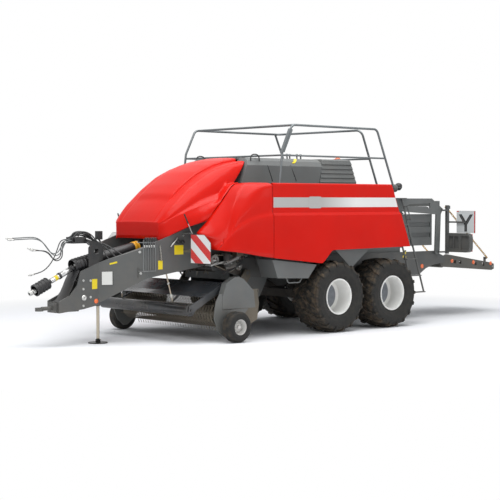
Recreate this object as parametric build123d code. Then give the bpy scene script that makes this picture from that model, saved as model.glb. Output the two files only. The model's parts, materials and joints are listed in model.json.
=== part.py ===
# Towed large square baler on a tandem axle, parked on its wheels and its jack.
# Axes while modelling: X forward with 0 at the front tandem axle, Y to the left, Z up from the ground.
# Every piece is moved at the end so that the middle of the machine's length lies at X = 0.
# Lengths are millimetres.
import os
from math import cos, hypot, pi, radians, sin, tan

from build123d import *

os.makedirs("parts", exist_ok=True)

# Driving dimensions: tandem axle and wheels
TYRE_RADIUS = 595
TYRE_WIDTH = 610
TREAD_DEPTH = 26
LUG_COUNT = 18
LUG_THICKNESS = 46
RIM_RADIUS = 285
RIM_LIP = 14
RIM_WIDTH = 508
RIM_SHEET = 12
DISH_DEPTH = 330
TRACK_HALF = 1188
AXLE_SPACING = 1319
STUB_RADIUS = 50
HUB_WALL = 32
RUNNING_FIT = 0.05
SEAT = 0.3
AXLE_TUBE = 140

# Driving dimensions: bale chamber and chassis
BALE_WIDTH = 1200
CHAMBER_FLOOR = 1120
CHAMBER_HEIGHT = 900
CHAMBER_SHEET = 12
CHAMBER_FRONT = 1900
CHAMBER_BACK = -2450
INTAKE_BACK = 930
INTAKE_FRONT = 1620
INTAKE_HALF = 540
WALL_RIB_DEPTH = 48
CHASSIS_SHEET = 20
FLAP_LENGTH = 850
FLAP_THICKNESS = 46
HOOP_SHEET = 30
HOOP_GAP = 20

# Driving dimensions: drawbar, jack and drive line
HITCH_X = 4916
HITCH_HEIGHT = 564
EYE_BORE = 26
EYE_RADIUS = 62
EYE_THICKNESS = 52
NOSE_HALF_WIDTH = 160
NOSE_SHEET = 22
JACK_X = 3920
JACK_Y = 95
JACK_RADIUS = 24
JACK_WALL = 8
JACK_FOOT_RADIUS = 150
PTO_FRONT_X = 5045
PTO_FRONT_Z = 822
PTO_SLOPE = 25
PTO_LENGTH = 932
JOINT_REACH = 39.7
LINE_SLOPE = 12.5
LINE_RADIUS = 86
PTO_SHAFT_RADIUS = 20
PTO_TUBE_RADIUS = 33
FLYWHEEL_RADIUS = 380
FLYWHEEL_X = 2650

# Driving dimensions: red shields and grey covers
SHIELD_SHEET = 8
PANEL_Y = 1400
PANEL_STEP = 34
PANEL_CREASE = 1980
PANEL_SEAM = 1476
SHUT_GAP = 8
DECK_HEIGHT = 2420
PANEL_TOP = DECK_HEIGHT + 45
COVER_HALF = 750
COVER_RISE = 480
COVER_TOP = DECK_HEIGHT + COVER_RISE

# Driving dimensions: guard rails
RAIL_RADIUS = 19
RAIL_HEIGHT = 3410
KNEE_RAIL_HEIGHT = (DECK_HEIGHT + RAIL_HEIGHT) / 2
RAIL_BEND_HEIGHT = DECK_HEIGHT + (RAIL_HEIGHT - DECK_HEIGHT) * 0.576
RAIL_Y = 1225

# Driving dimensions: pickup
PICKUP_HALF = 1165
REEL_X = 2330
REEL_HEIGHT = 420
REEL_TUBE_RADIUS = 90
TINE_RADIUS = 300
TINE_WIRE = 7
TINE_PITCH = 66
TINE_BARS = 4
STRIPPER_RADIUS = 205
GAUGE_X = 2292
GAUGE_Y = 1468
GAUGE_TYRE_RADIUS = 238
GAUGE_TYRE_WIDTH = 215
GAUGE_RIM_RADIUS = 121
WIND_ROLLER_X = 2930
WIND_ROLLER_HEIGHT = 510
WIND_ROLLER_RADIUS = 92

# Driving dimensions: chute and rear
CHUTE_PIVOT_X = -3600
CHUTE_PIVOT_HEIGHT = 1075
CHUTE_LENGTH = 1560
CHUTE_SLOPE = 5
CHUTE_HALF = 640
CHUTE_SHEET = 38
CHUTE_PIN_RADIUS = 24
CHAIN_Y = 705
CHAIN_PITCH = 78
CHAIN_BAR = 9

nodes = {}
cord_names = []


def block(x0, x1, y0, y1, z0, z1):
    """Box between two corners."""
    centre = Pos((x0 + x1) / 2, (y0 + y1) / 2, (z0 + z1) / 2)
    return centre * Box(abs(x1 - x0), abs(y1 - y0), abs(z1 - z0))


def side_outline(points, y0, y1):
    """Plate with an outline drawn in side view as (x, z), between two Y planes."""
    low, high = min(y0, y1), max(y0, y1)
    face = make_face(Polyline(*[(x, low, z) for x, z in points], close=True))
    return extrude(face, amount=high - low, dir=(0, 1, 0))


def plan_outline(points, z0, z1):
    """Plate with an outline drawn in plan as (x, y), between two heights."""
    face = make_face(Polyline(*[(x, y, z0) for x, y in points], close=True))
    return extrude(face, amount=z1 - z0, dir=(0, 0, 1))


def front_outline(points, x0, x1):
    """Plate with an outline drawn in front view as (y, z), between two X planes."""
    low, high = min(x0, x1), max(x0, x1)
    face = make_face(Polyline(*[(low, y, z) for y, z in points], close=True))
    return extrude(face, amount=high - low, dir=(1, 0, 0))


def rod(start, end, radius, bore=0):
    """Round bar or tube between two points."""
    start, end = Vector(*start), Vector(*end)
    plane = Plane(origin=start, z_dir=(end - start).normalized())
    section = Circle(radius) - Circle(bore) if bore else Circle(radius)
    return extrude(plane * section, amount=(end - start).length)


def bent_tube(points, radius, bend):
    """Round tube along straight runs joined by arcs."""
    path = FilletPolyline(*points, radius=bend)
    start = path @ 0
    section = Plane(origin=start, z_dir=path % 0) * Circle(radius)
    return sweep(section, path=path)


def turned(points, x, y, z, outward=1):
    """Ring turned about a Y axis from (radius, offset) points, offset outward from the plane y."""
    outline = [(radius, outward * offset) for radius, offset in points]
    face = make_face(Polyline(*[(r, o, 0) for r, o in outline], close=True))
    return Pos(x, y, z) * revolve(face, axis=Axis.Y)


def mirrored(half):
    """Closed outline from the points of its left half, lowest first."""
    return half + [(-y, z) for y, z in reversed(half) if y > 0]


def both_sides(name, build):
    """Left and right node from a function of the side's sign."""
    nodes[name + "_left"] = build(1)
    nodes[name + "_right"] = build(-1)


# Tandem wheels: carcass, slanted tread lugs, deep dished rim
def tread_envelope():
    """Half section of the tread out to the lug tips."""
    half = TYRE_WIDTH / 2
    return [
        (RIM_RADIUS + 140, -half), (TYRE_RADIUS - 70, -half), (TYRE_RADIUS - 20, -half + 26),
        (TYRE_RADIUS - 5, -half * 0.62), (TYRE_RADIUS, 0), (TYRE_RADIUS - 5, half * 0.62),
        (TYRE_RADIUS - 20, half - 26), (TYRE_RADIUS - 70, half), (RIM_RADIUS + 140, half),
    ]


def tandem_tyre():
    """Tyre about its own centre with its axle along Y."""
    half = TYRE_WIDTH / 2
    bead = RIM_WIDTH / 2
    root = TYRE_RADIUS - TREAD_DEPTH
    carcass = turned([
        (RIM_RADIUS, -bead + 18), (RIM_RADIUS + RIM_LIP + 3, -bead + 18), (RIM_RADIUS + 60, -bead - 18),
        (RIM_RADIUS + 130, -half + 8),
        (root - 70, -half + 6), (root - 18, -half + 34), (root, -half * 0.6), (root, half * 0.6),
        (root - 18, half - 34), (root - 70, half - 6), (RIM_RADIUS + 130, half - 8),
        (RIM_RADIUS + 60, bead + 18), (RIM_RADIUS + RIM_LIP + 3, bead - 18), (RIM_RADIUS, bead - 18),
    ], 0, 0, 0)
    envelope = turned(tread_envelope(), 0, 0, 0)
    pitch = 360 / LUG_COUNT
    lag = 150
    lugs = []
    for side in (1, -1):
        outline = [
            (0, -12 * side), (lag, side * half * 0.86), (lag, side * (half + 10)),
            (lag + LUG_THICKNESS, side * (half + 10)), (lag + LUG_THICKNESS, side * half * 0.8),
            (LUG_THICKNESS * 1.1, -12 * side),
        ]
        bar = plan_outline([(x - lag * 0.6, y) for x, y in outline], root - 80, TYRE_RADIUS + 30)
        lug = bar & envelope
        for index in range(LUG_COUNT):
            turn = pitch * (index + (0.5 if side < 0 else 0))
            lugs.append(Rot(0, turn, 0) * lug)
    return carcass.fuse(*lugs)


def tandem_rim(outward):
    """One-piece dished rim with its closed hub bore."""
    bead = RIM_WIDTH / 2
    inner = RIM_RADIUS - RIM_SHEET
    dish = bead - DISH_DEPTH
    hub = STUB_RADIUS + HUB_WALL
    return turned([
        (0, dish + 26), (hub - 14, dish + 26), (hub, dish + 10), (hub + 70, dish + 4),
        (inner, dish + 44), (inner - 2, bead - 30), (inner + 4, bead), (RIM_RADIUS + RIM_LIP, bead),
        (RIM_RADIUS + RIM_LIP, bead - 14), (RIM_RADIUS, bead - 16),
        (RIM_RADIUS, -bead + 16), (RIM_RADIUS + RIM_LIP, -bead + 14), (RIM_RADIUS + RIM_LIP, -bead),
        (inner + 4, -bead), (inner, dish + 28), (hub + 70, dish - 12), (hub, dish - 12),
        (hub, dish - 110), (STUB_RADIUS + RUNNING_FIT, dish - 110),
        (STUB_RADIUS + RUNNING_FIT, dish + 12), (0, dish + 12),
    ], 0, 0, 0, outward)


TYRE = tandem_tyre()
for end, wheel_x in (("front", 0), ("rear", -AXLE_SPACING)):
    for label, sign in (("left", 1), ("right", -1)):
        place = Pos(wheel_x, sign * TRACK_HALF, TYRE_RADIUS)
        nodes[f"tyre_{end}_{label}"] = place * TYRE
        nodes[f"rim_{end}_{label}"] = place * tandem_rim(sign)

# Bogie: two axle tubes with stubs in a pair of walking beams hung below the chassis
HUB_FACE = TRACK_HALF + RIM_WIDTH / 2 - DISH_DEPTH - 110
STUB_END = TRACK_HALF + RIM_WIDTH / 2 - DISH_DEPTH + 9
BEAM_INNER = BALE_WIDTH / 2 + 100
BEAM_OUTER = BEAM_INNER + 110
BOGIE_X = -AXLE_SPACING / 2
BOGIE_PIN_Z = TYRE_RADIUS + 130
BOGIE_PIN_RADIUS = 45
CHASSIS_INNER = BALE_WIDTH / 2 + CHAMBER_SHEET + WALL_RIB_DEPTH
CHASSIS_OUTER = CHASSIS_INNER + CHASSIS_SHEET


def bogie():
    """Walking beams and both axles as one welded set."""
    half = AXLE_TUBE / 2
    z = TYRE_RADIUS
    pieces = []
    for wheel_x in (0, -AXLE_SPACING):
        tube = block(wheel_x - half, wheel_x + half, 6 - HUB_FACE, HUB_FACE - 6, z - half, z + half)
        pieces.append(tube)
        for sign in (1, -1):
            pieces.append(rod((wheel_x, sign * (HUB_FACE - 6), z), (wheel_x, sign * STUB_END, z),
                              STUB_RADIUS))
    outline = [
        (110, z - 90), (110, z + 90), (BOGIE_X + 190, BOGIE_PIN_Z + 85),
        (BOGIE_X - 190, BOGIE_PIN_Z + 85),
        (-AXLE_SPACING - 110, z + 90), (-AXLE_SPACING - 110, z - 90), (-AXLE_SPACING + 110, z - 90),
        (BOGIE_X - 190, BOGIE_PIN_Z - 85), (BOGIE_X + 190, BOGIE_PIN_Z - 85), (-110, z - 90),
    ]
    for sign in (1, -1):
        beam = side_outline(outline, sign * BEAM_INNER, sign * BEAM_OUTER)
        hole = rod((BOGIE_X, sign * (BEAM_INNER - 5), BOGIE_PIN_Z),
                   (BOGIE_X, sign * (BEAM_OUTER + 5), BOGIE_PIN_Z), BOGIE_PIN_RADIUS + RUNNING_FIT)
        pieces.append(beam - hole)
    return pieces[0].fuse(*pieces[1:])


nodes["bogie"] = bogie()

# Chassis side plates: front wall, sill along the chamber and the bogie hanger
WALL_FRONT = 3400
PICKUP_PIVOT = (1420, 1010)
PICKUP_PIN = 30
ARM_INNER = CHASSIS_OUTER + 40
ARM_OUTER = ARM_INNER + 30


def chassis(sign):
    """One chassis side with its rack posts and the pin that carries the walking beam."""
    outline = [
        (WALL_FRONT, 1000), (WALL_FRONT, 1490), (3226, 1556), (2229, 1887), (1880, 1887), (1700, 1250),
        (-3330, 1250), (CHUTE_PIVOT_X - 45, CHUTE_PIVOT_HEIGHT + 60),
        (CHUTE_PIVOT_X - 45, CHUTE_PIVOT_HEIGHT - 50),
        (-3310, 990), (-3100, 930), (-2900, 820), (-2000, 820), (-1060, 830),
        (BOGIE_X - 90, BOGIE_PIN_Z - 70), (BOGIE_X + 90, BOGIE_PIN_Z - 70), (-260, 830),
        (1500, 950), (2240, 1159), (2950, 1062),
    ]
    plate = side_outline(outline, sign * CHASSIS_INNER, sign * CHASSIS_OUTER)
    pin = rod((BOGIE_X, sign * CHASSIS_OUTER, BOGIE_PIN_Z),
              (BOGIE_X, sign * (BEAM_OUTER + 24), BOGIE_PIN_Z),
              BOGIE_PIN_RADIUS)
    collar = rod((BOGIE_X, sign * (BEAM_OUTER + 0.3), BOGIE_PIN_Z),
                 (BOGIE_X, sign * (BEAM_OUTER + 24), BOGIE_PIN_Z),
                 BOGIE_PIN_RADIUS + 22)
    chute_pin = rod((CHUTE_PIVOT_X, sign * CHASSIS_INNER, CHUTE_PIVOT_HEIGHT),
                    (CHUTE_PIVOT_X, sign * (CHUTE_HALF - CHUTE_SHEET - 8), CHUTE_PIVOT_HEIGHT),
                    CHUTE_PIN_RADIUS)
    pivot = rod((PICKUP_PIVOT[0], sign * CHASSIS_OUTER, PICKUP_PIVOT[1]),
                (PICKUP_PIVOT[0], sign * (ARM_OUTER + 2), PICKUP_PIVOT[1]), PICKUP_PIN)
    return plate.fuse(pin, collar, chute_pin, pivot)


both_sides("chassis", chassis)


# Bale chamber: floor, walls with outside ribs, roof and the portals that carry the top cover
def chamber():
    """Open channel for the bale with the frames above its roof."""
    inner = BALE_WIDTH / 2
    outer = inner + CHAMBER_SHEET
    roof = CHAMBER_FLOOR + CHAMBER_HEIGHT
    floor = block(CHUTE_PIVOT_X + 80, CHAMBER_FRONT, -outer, outer, CHAMBER_FLOOR - CHAMBER_SHEET,
                  CHAMBER_FLOOR)
    lid = block(CHAMBER_BACK, CHAMBER_FRONT, -outer, outer, roof, roof + CHAMBER_SHEET)
    pieces = [lid]
    for sign in (1, -1):
        pieces.append(block(CHAMBER_BACK, CHAMBER_FRONT, sign * inner, sign * outer, CHAMBER_FLOOR, roof))
        for rib_z in (CHAMBER_FLOOR + 40, CHAMBER_FLOOR + 420, roof - 60):
            rib = block(CHAMBER_BACK, CHAMBER_FRONT, sign * outer, sign * CHASSIS_INNER, rib_z,
                        rib_z + 60)
            pieces.append(rib)
    for portal_x in (1050, 150, -950):
        low = roof + CHAMBER_SHEET
        for sign in (1, -1):
            pieces.append(block(portal_x - 40, portal_x + 40, sign * (inner - 70), sign * (inner + 10),
                                low, DECK_HEIGHT))
        pieces.append(block(portal_x - 40, portal_x + 40, -CHASSIS_OUTER, CHASSIS_OUTER, DECK_HEIGHT - 60,
                            DECK_HEIGHT))
    intake = block(INTAKE_BACK, INTAKE_FRONT, -INTAKE_HALF, INTAKE_HALF,
                   CHAMBER_FLOOR - 2 * CHAMBER_SHEET,
                   CHAMBER_FLOOR + CHAMBER_SHEET)
    return (floor - intake).fuse(*pieces)


nodes["chamber"] = chamber()

# Density flaps: hinged side and top panels behind the fixed chamber
FLAP_BACK = CHAMBER_BACK - FLAP_LENGTH
FLAP_LOW = CHAMBER_FLOOR + 236
FLAP_HIGH = FLAP_LOW + 580
ROOF = CHAMBER_FLOOR + CHAMBER_HEIGHT


HINGE_X = CHAMBER_BACK - 30
FLAP_PIN = 12
FLAP_PIN_Y = BALE_WIDTH / 2 + FLAP_THICKNESS / 2


def side_flap(sign):
    """Side density panel with its two long outside grooves and its hinge barrel."""
    inner = BALE_WIDTH / 2
    plate = block(FLAP_BACK, HINGE_X, sign * inner, sign * (inner + FLAP_THICKNESS), FLAP_LOW, FLAP_HIGH)
    for low in (FLAP_LOW + 150, FLAP_LOW + 345):
        groove = block(FLAP_BACK + 40, HINGE_X - 60, sign * (inner + 18),
                       sign * (inner + FLAP_THICKNESS + 5),
                       low, low + 85)
        plate = plate - groove
    barrel = rod((HINGE_X, sign * FLAP_PIN_Y, FLAP_LOW), (HINGE_X, sign * FLAP_PIN_Y, FLAP_HIGH),
                 FLAP_THICKNESS / 2)
    bore = rod((HINGE_X, sign * FLAP_PIN_Y, FLAP_LOW - 5), (HINGE_X, sign * FLAP_PIN_Y, FLAP_HIGH + 5),
               FLAP_PIN + RUNNING_FIT)
    return plate.fuse(barrel) - bore


def top_flap():
    """Top density panel with its hinge barrel."""
    half = BALE_WIDTH / 2 - 40
    z = ROOF + FLAP_THICKNESS / 2
    plate = block(FLAP_BACK, HINGE_X, -half, half, ROOF, ROOF + FLAP_THICKNESS)
    barrel = rod((HINGE_X, -half, z), (HINGE_X, half, z), FLAP_THICKNESS / 2)
    return plate.fuse(barrel) - rod((HINGE_X, -half - 5, z), (HINGE_X, half + 5, z),
                                    FLAP_PIN + RUNNING_FIT)


def flap_pins():
    """Hinge pins of the three panels with the ears that hold them on the chamber."""
    pieces = []
    x, r, t = HINGE_X, FLAP_PIN, FLAP_THICKNESS / 2
    inner = BALE_WIDTH / 2
    for sign in (1, -1):
        y = sign * FLAP_PIN_Y
        pieces.append(rod((x, y, FLAP_LOW - 30), (x, y, FLAP_HIGH + 30), r))
        for low in (FLAP_LOW - 30, FLAP_HIGH + 6):
            pieces.append(block(x - t, CHAMBER_BACK, sign * inner, sign * (inner + 2 * t), low, low + 24))
        z = ROOF + t
        half = inner - 40
        pieces.append(rod((x, 0, z), (x, sign * (half + 30), z), r))
        pieces.append(block(x - t, CHAMBER_BACK, sign * (half + 6), sign * (half + 30), ROOF,
                            ROOF + 2 * t))
    return pieces


both_sides("flap", side_flap)
nodes["flap_top"] = top_flap()
nodes["chamber"] = nodes["chamber"].fuse(*flap_pins())

# Plunger: ribbed face block that slides in the chamber
PLUNGER_FACE = 250
PLUNGER_BACK = 900


def plunger():
    """Hollow backed plunger with vertical face ribs."""
    inner = BALE_WIDTH / 2 - 12
    low, high = CHAMBER_FLOOR + SEAT, ROOF - 10
    body = block(PLUNGER_FACE + 24, PLUNGER_BACK, -inner, inner, low, high)
    hollow = block(PLUNGER_FACE + 70, PLUNGER_BACK + 10, -inner + 60, inner - 60, low + 60, high - 60)
    body = body - hollow
    ribs = []
    count = 7
    for index in range(count):
        y = -inner + 45 + index * (2 * inner - 90) / (count - 1)
        ribs.append(block(PLUNGER_FACE, PLUNGER_FACE + 24, y - 30, y + 30, low, high))
    return body.fuse(*ribs)


nodes["plunger"] = plunger()

# Rear hoop: slotted side plates joined above and below the chamber
HOOP_INNER = CHASSIS_OUTER + HOOP_GAP
HOOP_OUTER = HOOP_INNER + HOOP_SHEET
HOOP_BACK = -3520


def hoop():
    """Closed frame round the density flaps."""
    outline = [
        (-1700, 2225), (-3200, 2225), (HOOP_BACK, 2030), (-3460, 1930), (-3430, 1210),
        (-3300, 1210), (-3330, 1930), (-2420, 1985), (-1700, 1985),
    ]
    slot = [(-2500, 2085), (-2560, 2120), (-3060, 2135), (-3150, 2135), (-3150, 2045), (-3060, 2045),
            (-3050, 2078)]
    pieces = []
    for sign in (1, -1):
        plate = side_outline(outline, sign * HOOP_INNER, sign * HOOP_OUTER)
        plate = plate - side_outline(slot, sign * (HOOP_INNER - 5), sign * (HOOP_OUTER + 5))
        pieces.append(plate)
        pieces.append(block(-3420, -3310, sign * CHASSIS_OUTER, sign * HOOP_OUTER, 1190, 1250))
        pieces.append(block(-2300, -1900, sign * (BALE_WIDTH / 2 + CHAMBER_SHEET), sign * HOOP_OUTER,
                            ROOF, ROOF + 40))
    for x0, x1, z0, z1 in ((-3460, -3340, 2080, 2180), (-2000, -1900, 2060, 2140)):
        pieces.append(block(x0, x1, -HOOP_INNER, HOOP_INNER, z0, z1))
    return pieces[0].fuse(*pieces[1:])


nodes["hoop"] = hoop()

# Drawbar: nose plates, splayed arms, cross beam and the jack's sleeve
NOSE_INNER = NOSE_HALF_WIDTH - NOSE_SHEET
ARM_BACK = WALL_FRONT
JACK_SLEEVE_LOW = 570


def quad(x, y0, y1, z0, z1):
    """Upright rectangular section at one station along X."""
    return make_face(Polyline((x, y0, z0), (x, y1, z0), (x, y1, z1), (x, y0, z1), close=True))


def drawbar():
    """Whole welded drawbar in front of the chassis walls."""
    front_outline_points = [
        (4667, 500), (4667, 674), (4474, 758), (4345, 900), (4278, 1113), (3950, 1237), (3950, 590),
        (4230, 540),
    ]
    pieces = []
    for sign in (1, -1):
        pieces.append(side_outline(front_outline_points, sign * NOSE_INNER, sign * NOSE_HALF_WIDTH))
        arm = loft([
            quad(3950, sign * NOSE_INNER, sign * NOSE_HALF_WIDTH, 620, 1237),
            quad(ARM_BACK, sign * (CHASSIS_OUTER - 110), sign * CHASSIS_OUTER, 1000, 1480),
        ], ruled=True)
        pieces.append(arm)
    pieces.append(block(4300, 4655, -NOSE_INNER, NOSE_INNER, 512, 560))
    pieces.append(block(4440, 4655, -NOSE_INNER, NOSE_INNER, 600, 660))
    pieces.append(block(4655, 4667, -NOSE_INNER, NOSE_INNER, 502, 668))
    pieces.append(block(3990, 4260, -NOSE_INNER, NOSE_INNER, 960, 990))
    pieces.append(block(3420, 3520, -CHASSIS_OUTER + 90, CHASSIS_OUTER - 90, 1010, 1160))
    sleeve = rod((JACK_X, JACK_Y, JACK_SLEEVE_LOW), (JACK_X, JACK_Y, 1100), JACK_RADIUS + JACK_WALL)
    pieces.append(sleeve)
    pieces.append(block(JACK_X + 30, JACK_X + 90, -NOSE_INNER, NOSE_INNER, 640, 700))
    pieces.append(block(JACK_X, JACK_X + 30, JACK_Y - 40, JACK_Y + 30, 640, 700))
    bar = pieces[0].fuse(*pieces[1:])
    return bar - rod((JACK_X, JACK_Y, 500), (JACK_X, JACK_Y, 1400), JACK_RADIUS + RUNNING_FIT)


nodes["drawbar"] = drawbar()


def hitch():
    """Drawbar eye on its flanged shank."""
    half = EYE_THICKNESS / 2
    ring = rod((HITCH_X, 0, HITCH_HEIGHT - half), (HITCH_X, 0, HITCH_HEIGHT + half), EYE_RADIUS)
    shank = rod((HITCH_X - 40, 0, HITCH_HEIGHT + 8), (4690, 0, HITCH_HEIGHT + 8), 30)
    flange = block(4667, 4700, -110, 110, 505, 655)
    eye = ring.fuse(shank, flange)
    return eye - rod((HITCH_X, 0, HITCH_HEIGHT - 60), (HITCH_X, 0, HITCH_HEIGHT + 60), EYE_BORE)


nodes["hitch"] = hitch()


def jack_leg():
    """Sliding leg on its round foot."""
    foot = rod((JACK_X, JACK_Y, 0), (JACK_X, JACK_Y, 14), JACK_FOOT_RADIUS)
    hub = rod((JACK_X, JACK_Y, 14), (JACK_X, JACK_Y, 60), JACK_RADIUS + 14)
    leg = rod((JACK_X, JACK_Y, 14), (JACK_X, JACK_Y, 780), JACK_RADIUS)
    return foot.fuse(hub, leg)


nodes["jack_leg"] = jack_leg()

# Drive line: shaft from the tractor, guards, sloping line to the flywheel and the gearbox
PTO_DIR = (-cos(radians(PTO_SLOPE)), 0, sin(radians(PTO_SLOPE)))


def pto_point(distance):
    """Point on the shaft's axis, measured back from its front end."""
    return (PTO_FRONT_X + PTO_DIR[0] * distance, 0, PTO_FRONT_Z + PTO_DIR[2] * distance)


PTO_PLANE = Plane(origin=pto_point(0), x_dir=(0, 1, 0), z_dir=PTO_DIR)


def turned_on_pto(points):
    """Solid turned about the shaft's axis from (radius, distance) points."""
    face = make_face(Polyline(*[(r, 0, d) for r, d in points], close=True))
    return PTO_PLANE * revolve(face, axis=Axis.Z)


GUARD_FRONT = 60
SHAFT_FIT = PTO_SHAFT_RADIUS + RUNNING_FIT


def pto_guard():
    """Ribbed front bell and telescopic tube round the shaft."""
    bell = [(SHAFT_FIT, 330), (SHAFT_FIT, 300), (74, 300), (78, GUARD_FRONT), (95, GUARD_FRONT)]
    for index in range(4):
        d = GUARD_FRONT + 30 + index * 54
        bell += [(95, d), (87, d + 12), (87, d + 30), (95, d + 42)]
    rear = PTO_LENGTH - 130
    bell += [(88, 310), (PTO_TUBE_RADIUS, 345), (PTO_TUBE_RADIUS, rear - 30), (52, rear), (46, rear),
             (PTO_TUBE_RADIUS - 5, rear - 26), (PTO_TUBE_RADIUS - 5, 340), (SHAFT_FIT, 335)]
    return turned_on_pto(bell)


def pto_shaft():
    """Inner shaft with its front yoke and its rear joint."""
    end = PTO_LENGTH
    shaft = turned_on_pto([(0, 0), (34, 0), (34, 64), (PTO_SHAFT_RADIUS, 70),
                           (PTO_SHAFT_RADIUS, end - 80),
                           (40, end - 76), (40, end - 30), (30, end + 12), (0, end + JOINT_REACH)])
    yoke = PTO_PLANE * Pos(0, 0, 40) * Box(104, 40, 60)
    front = turned_on_pto([(22, -46), (36, -46), (40, 0), (34, 10), (0, 10), (0, -4), (22, -4)])
    return shaft.fuse(yoke, front)


nodes["pto_guard"] = pto_guard()
nodes["pto_shaft"] = pto_shaft()

LINE_START = pto_point(PTO_LENGTH)
LINE_DIR = (-cos(radians(LINE_SLOPE)), 0, sin(radians(LINE_SLOPE)))
LINE_LENGTH = (LINE_START[0] - FLYWHEEL_X) / cos(radians(LINE_SLOPE))
LINE_PLANE = Plane(origin=LINE_START, x_dir=(0, 1, 0), z_dir=LINE_DIR)


def turned_on_line(points):
    """Solid turned about the sloping drive line from (radius, distance) points."""
    face = make_face(Polyline(*[(r, 0, d) for r, d in points], close=True))
    return LINE_PLANE * revolve(face, axis=Axis.Z)


def driveline():
    """Rear bell, black guard tube with its collar, stand, and the gearbox behind the flywheel."""
    r, fit = LINE_RADIUS, SHAFT_FIT
    bell = [(fit, 130), (fit, 100), (r - 8, 100), (r + 10, -130), (r + 16, -130)]
    for index in range(6):
        d = -92 + index * 60
        bell += [(r + 26, d), (r + 17, d + 12), (r + 17, d + 34), (r + 26, d + 46)]
    tube = turned_on_line(bell + [
        (r + 26, 270), (r, 300), (r, 1130), (r + 10, 1134), (r + 10, 1200), (r, 1204), (r, 1290),
        (fit, 1290), (fit, 1250),
        (r - 6, 1250), (r - 6, 130),
    ])
    stand = block(3600, 3700, -50, 50, 1060, 1330) - turned_on_line([(0, 300), (r, 300), (r, 1100),
                                                                     (0, 1100)])
    def arm_inner(x):
        ahead, behind = NOSE_INNER, CHASSIS_OUTER - 110
        return ahead + (behind - ahead) * (3950 - x) / (3950 - ARM_BACK)

    near, far = arm_inner(3740), arm_inner(3560)
    beam = plan_outline([(3740, -near), (3740, near), (3560, far), (3560, -far)], 1020, 1062)
    d = LINE_LENGTH
    box = turned_on_line([
        (fit, d + 90), (200, d + 90), (250, d + 180), (250, d + 600), (0, d + 600), (0, d + 300),
        (fit, d + 300),
    ])
    seat = block(2080, 2330, -200, 200, 1330, 1480) - turned_on_line([(0, d), (250, d), (250, d + 650),
                                                                      (0, d + 650)])
    girder = block(2080, 2330, -CHASSIS_INNER, CHASSIS_INNER, 1250, 1332)
    return tube.fuse(stand, beam), box.fuse(seat, girder)


line_tube, line_box = driveline()
nodes["driveline"] = line_tube
nodes["gearbox"] = line_box


def flywheel():
    """Heavy rimmed disc on its shaft."""
    return turned_on_line([
        (0, JOINT_REACH - 0.7), (44, JOINT_REACH - 0.7), (44, 86), (PTO_SHAFT_RADIUS, 90),
        (PTO_SHAFT_RADIUS, LINE_LENGTH - 60), (80, LINE_LENGTH - 60),
        (80, LINE_LENGTH - 20), (FLYWHEEL_RADIUS - 60, LINE_LENGTH - 20),
        (FLYWHEEL_RADIUS - 60, LINE_LENGTH - 60),
        (FLYWHEEL_RADIUS, LINE_LENGTH - 60), (FLYWHEEL_RADIUS, LINE_LENGTH + 60),
        (FLYWHEEL_RADIUS - 60, LINE_LENGTH + 60), (FLYWHEEL_RADIUS - 60, LINE_LENGTH + 10),
        (PTO_SHAFT_RADIUS, LINE_LENGTH + 10), (PTO_SHAFT_RADIUS, LINE_LENGTH + 290),
        (0, LINE_LENGTH + 290),
    ])


nodes["flywheel"] = flywheel()

# Red hood over the flywheel: lofted shell, trimmed in side view, hinged at its rear top edge
HOOD_HINGE = (1372, COVER_TOP - 34)
HOOD_STATIONS = [
    # x, crown drop, ridge y, ridge drop, side y, side drop, bottom y, each drop below the cover's top
    (1360, 50, 650, 85, 800, 340, 800),
    (1714, 110, 652, 143, 905, 420, 905),
    (1945, 175, 635, 212, 960, 510, 965),
    (2232, 300, 629, 339, 990, 740, 990),
    (2536, 500, 617, 541, 950, 1000, 950),
    (2842, 760, 614, 801, 800, 1110, 790),
    (2969, 890, 580, 920, 690, 1160, 670),
    (3060, 1032, 552, 1050, 585, 1200, 550),
    (3092, 1080, 530, 1100, 530, 1210, 470),
]
HOOD_OUTLINE = [
    (1374, COVER_TOP + 5), (1408, COVER_TOP - 85), (1573, COVER_TOP - 419), (1714, COVER_TOP - 426),
    (1927, COVER_TOP - 465), (2137, COVER_TOP - 670), (2345, COVER_TOP - 890), (2400, COVER_TOP - 1007),
    (2760, COVER_TOP - 1130), (2960, COVER_TOP - 1240), (3060, COVER_TOP - 1328),
    (3130, COVER_TOP - 1334), (3130, COVER_TOP + 5),
]


def hood_body(inset, start, end):
    """Closed loft of the hood, drawn inward by a sheet thickness."""
    sections = []
    for index, (x, crown, ridge_y, ridge, side_y, side, bottom_y) in enumerate(HOOD_STATIONS):
        top = COVER_TOP - inset
        if index == 0:
            x += start
        if index == len(HOOD_STATIONS) - 1:
            x += end
        half = [(bottom_y - inset, top - 1420), (side_y - inset, COVER_TOP - side),
                (ridge_y - inset, top - ridge)]
        outline = mirrored(half + [(0, top - crown)])
        sections.append(make_face(Polyline(*[(x, y, z) for y, z in outline], close=True)))
    return loft(sections, ruled=True)


def hood():
    """Hood shell with the knuckles of its hinge."""
    shell = hood_body(0, 0, 0) - hood_body(SHIELD_SHEET, -12, -SHIELD_SHEET)
    shell = shell & side_outline(HOOD_OUTLINE, -1200, 1200)
    shell = shell - hood_body(SHIELD_SHEET, -12, -SHIELD_SHEET)
    x, z = HOOD_HINGE
    for y in (-420, 420):
        lug = side_outline([(x - 14, z), (x, z + 14), (x + 14, z + 6), (x + 90, z - 58), (x + 60, z - 64),
                            (x + 34, z - 60)], y - 30, y + 30)
        shell = shell.fuse(lug)
        shell = shell - rod((x, y - 40, z), (x, y + 40, z), HINGE_PIN + RUNNING_FIT)
    return shell


HINGE_PIN = 7
nodes["hood"] = hood()

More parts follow.
